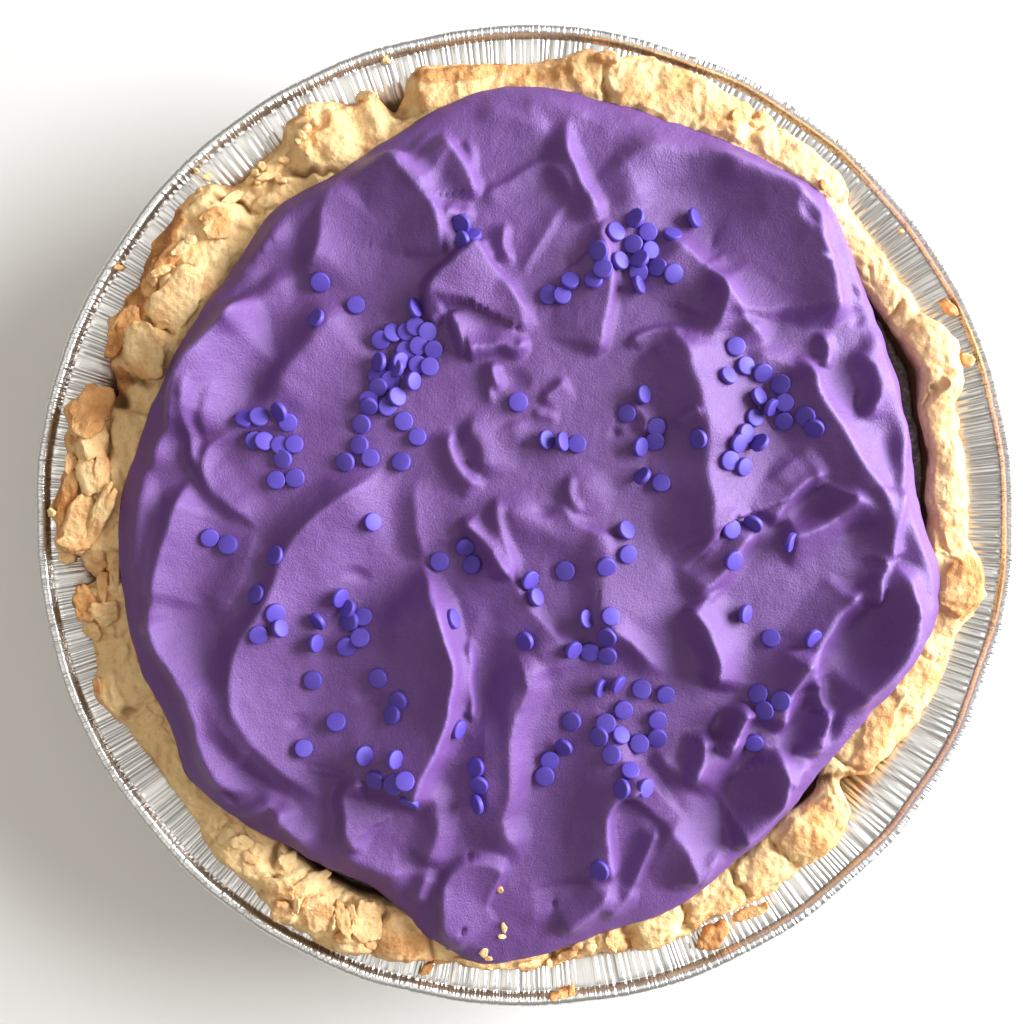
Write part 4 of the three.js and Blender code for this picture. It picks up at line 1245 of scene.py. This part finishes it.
def sprinkle_shape():
    """All the discs as one mesh, laid on the cream and on one another."""
    chance = np.random.default_rng(7)
    ring = np.array([(0, 0)] + [(SPRINKLE_RADIUS * q * math.cos(a), SPRINKLE_RADIUS * q * math.sin(a))
                                for q in (0.5, 0.95)
                                for a in np.linspace(0, math.tau, 12, endpoint=False)])
    fit = fitted(ring)
    spots = [(p, False) for p in FLAT_SPRINKLES] + [(p, True) for p in TILTED_SPRINKLES]
    middles = on_cream([p for p, _ in spots])
    ground = (middles[:, None] + ring[None]).reshape(-1, 2)
    heights = cream_height(ground[:, 0], ground[:, 1])[0].reshape(len(spots), -1)

    disc = disc_mesh()
    bm = bmesh.new()
    laid = []
    for (x, y), support, (_, tilted) in zip(middles, heights, spots):
        # the cream or the discs already laid here, whichever is higher
        for ox, oy, oz, normal in laid:
            dx, dy = x + ring[:, 0] - ox, y + ring[:, 1] - oy
            under = dx * dx + dy * dy < SPRINKLE_RADIUS ** 2
            top = oz - (normal[0] * dx + normal[1] * dy) / normal[2] + SPRINKLE_THICKNESS / 2 / normal[2]
            support = np.where(under, np.maximum(support, top), support)
        base, slope_x, slope_y = fit @ support
        lean, towards = math.tan(math.radians(chance.uniform(3, 20))), chance.uniform(0, math.tau)
        normal = Vector((-slope_x, -slope_y, 1))
        normal += Vector((lean * math.cos(towards), lean * math.sin(towards), 0))
        sunk = 0.25 - 0.45 * SPRINKLE_RADIUS * lean
        if tilted:
            lean_cos, lean_sin = cos_sin(chance.uniform(38, 62))
            turn_cos, turn_sin = cos_sin(chance.uniform(-50, 50) + (180 if chance.random() < 0.3 else 0))
            normal = Vector((lean_sin * turn_cos, lean_sin * turn_sin, lean_cos))
            sunk = -0.62 * SPRINKLE_RADIUS * lean_sin
        normal.normalize()
        middle = Vector((x, y, base + SPRINKLE_THICKNESS / 2 - sunk))
        if not tilted:
            laid.append((x, y, middle.z, normal))
        pose = Matrix.Translation(middle) @ normal.to_track_quat("Z", "Y").to_matrix().to_4x4()
        size = Matrix.Diagonal((*[chance.uniform(0.95, 1.05)] * 2, chance.uniform(0.92, 1.08), 1))
        before = len(bm.verts)
        bm.from_mesh(disc)
        bm.verts.ensure_lookup_table()
        bmesh.ops.transform(bm, matrix=Matrix.Scale(0.001, 4) @ pose @ size, verts=bm.verts[before:])
    bpy.data.meshes.remove(disc)
    return bm


def sprinkle_material():
    material, tree = new_material("violet_sugar")
    spot = add(tree, "TexCoord").outputs["Object"]
    mottle = add(tree, "TexNoise", {"Scale": every_mm(3), "Detail": 2}, {"Vector": spot})
    tint = add(tree, "Mix",
               {"data_type": "RGBA", 6: colour("#4c3798"), 7: colour("#5a45a8")},
               {0: mottle.outputs["Fac"]})
    grain = add(tree, "TexNoise", {"Scale": every_mm(0.35), "Detail": 2}, {"Vector": spot})
    bump = add(tree, "Bump", {"Strength": 0.15, "Distance": 0.0002},
               {"Height": grain.outputs["Fac"]})
    shader = add(tree, "BsdfPrincipled", {"Roughness": 0.55, "Specular IOR Level": 0.4},
                 {"Base Color": tint.outputs[2], "Normal": bump.outputs["Normal"]})
    add(tree, "OutputMaterial", {}, {"Surface": shader.outputs["BSDF"]})
    return material


piece(sprinkle_shape(), "sprinkles", sprinkle_material(), "whipped_cream")


# --- Table, light and camera ---

def table_material():
    material, tree = new_material("table_top")
    shader = add(tree, "BsdfPrincipled", {"Base Color": colour("#e9e6e1"), "Roughness": 0.7})
    add(tree, "OutputMaterial", {}, {"Surface": shader.outputs["BSDF"]})
    return material


table = bmesh.new()
bmesh.ops.create_grid(table, x_segments=1, y_segments=1, size=2.0)
floor = piece(table, "table", table_material())


def soft_light(name, middle, aim, width, height, watts, tint, seen=True):
    """A soft panel. One that isn't seen lights nothing: it only shines in bright surfaces."""
    lamp = bpy.data.lights.new(name, "AREA")
    lamp.shape, lamp.size, lamp.size_y = "RECTANGLE", width, height
    lamp.energy, lamp.color = watts, tint
    made = bpy.data.objects.new(name, lamp)
    made.location = middle
    made.rotation_euler = (Vector(aim) - Vector(middle)).to_track_quat("-Z", "Y").to_euler()
    made.visible_diffuse = seen
    bpy.context.scene.collection.objects.link(made)


soft_light("window", (0.68, 0.17, 0.28), (0, 0, 0.03), 0.62, 0.46, 24, (0.88, 0.93, 1.0))
soft_light("ceiling", (0.05, 0.2, 1.3), (0, 0, 0), 1.2, 1.2, 2.8, (1.0, 0.96, 0.90))
soft_light("bounce", (-0.35, -0.12, 0.55), (-0.08, -0.03, 0), 0.4, 0.4, 0.5, (1.0, 0.97, 0.93))
soft_light("reflector", (0, 0, 1.6), (0, 0, 0), 3.4, 3.4, 2.2, (1.0, 0.98, 0.95), seen=False)

world = bpy.data.worlds.new("room")
bpy.context.scene.world = world
world.use_nodes = True
background = world.node_tree.nodes["Background"]
background.inputs["Color"].default_value = (1.0, 0.95, 0.88, 1)
background.inputs["Strength"].default_value = 0.3

eye = bpy.data.cameras.new("eye")
eye.sensor_fit = "HORIZONTAL"
eye.sensor_width = 36
eye.lens = FOCAL_PX / PICTURE_PX[0] * eye.sensor_width
eye.clip_start = 0.01
camera = bpy.data.objects.new("eye", eye)
camera.location = [v / 1000 for v in CAMERA_MM]
bpy.context.scene.collection.objects.link(camera)
bpy.context.scene.camera = camera
bpy.context.scene.view_settings.view_transform = "Standard"
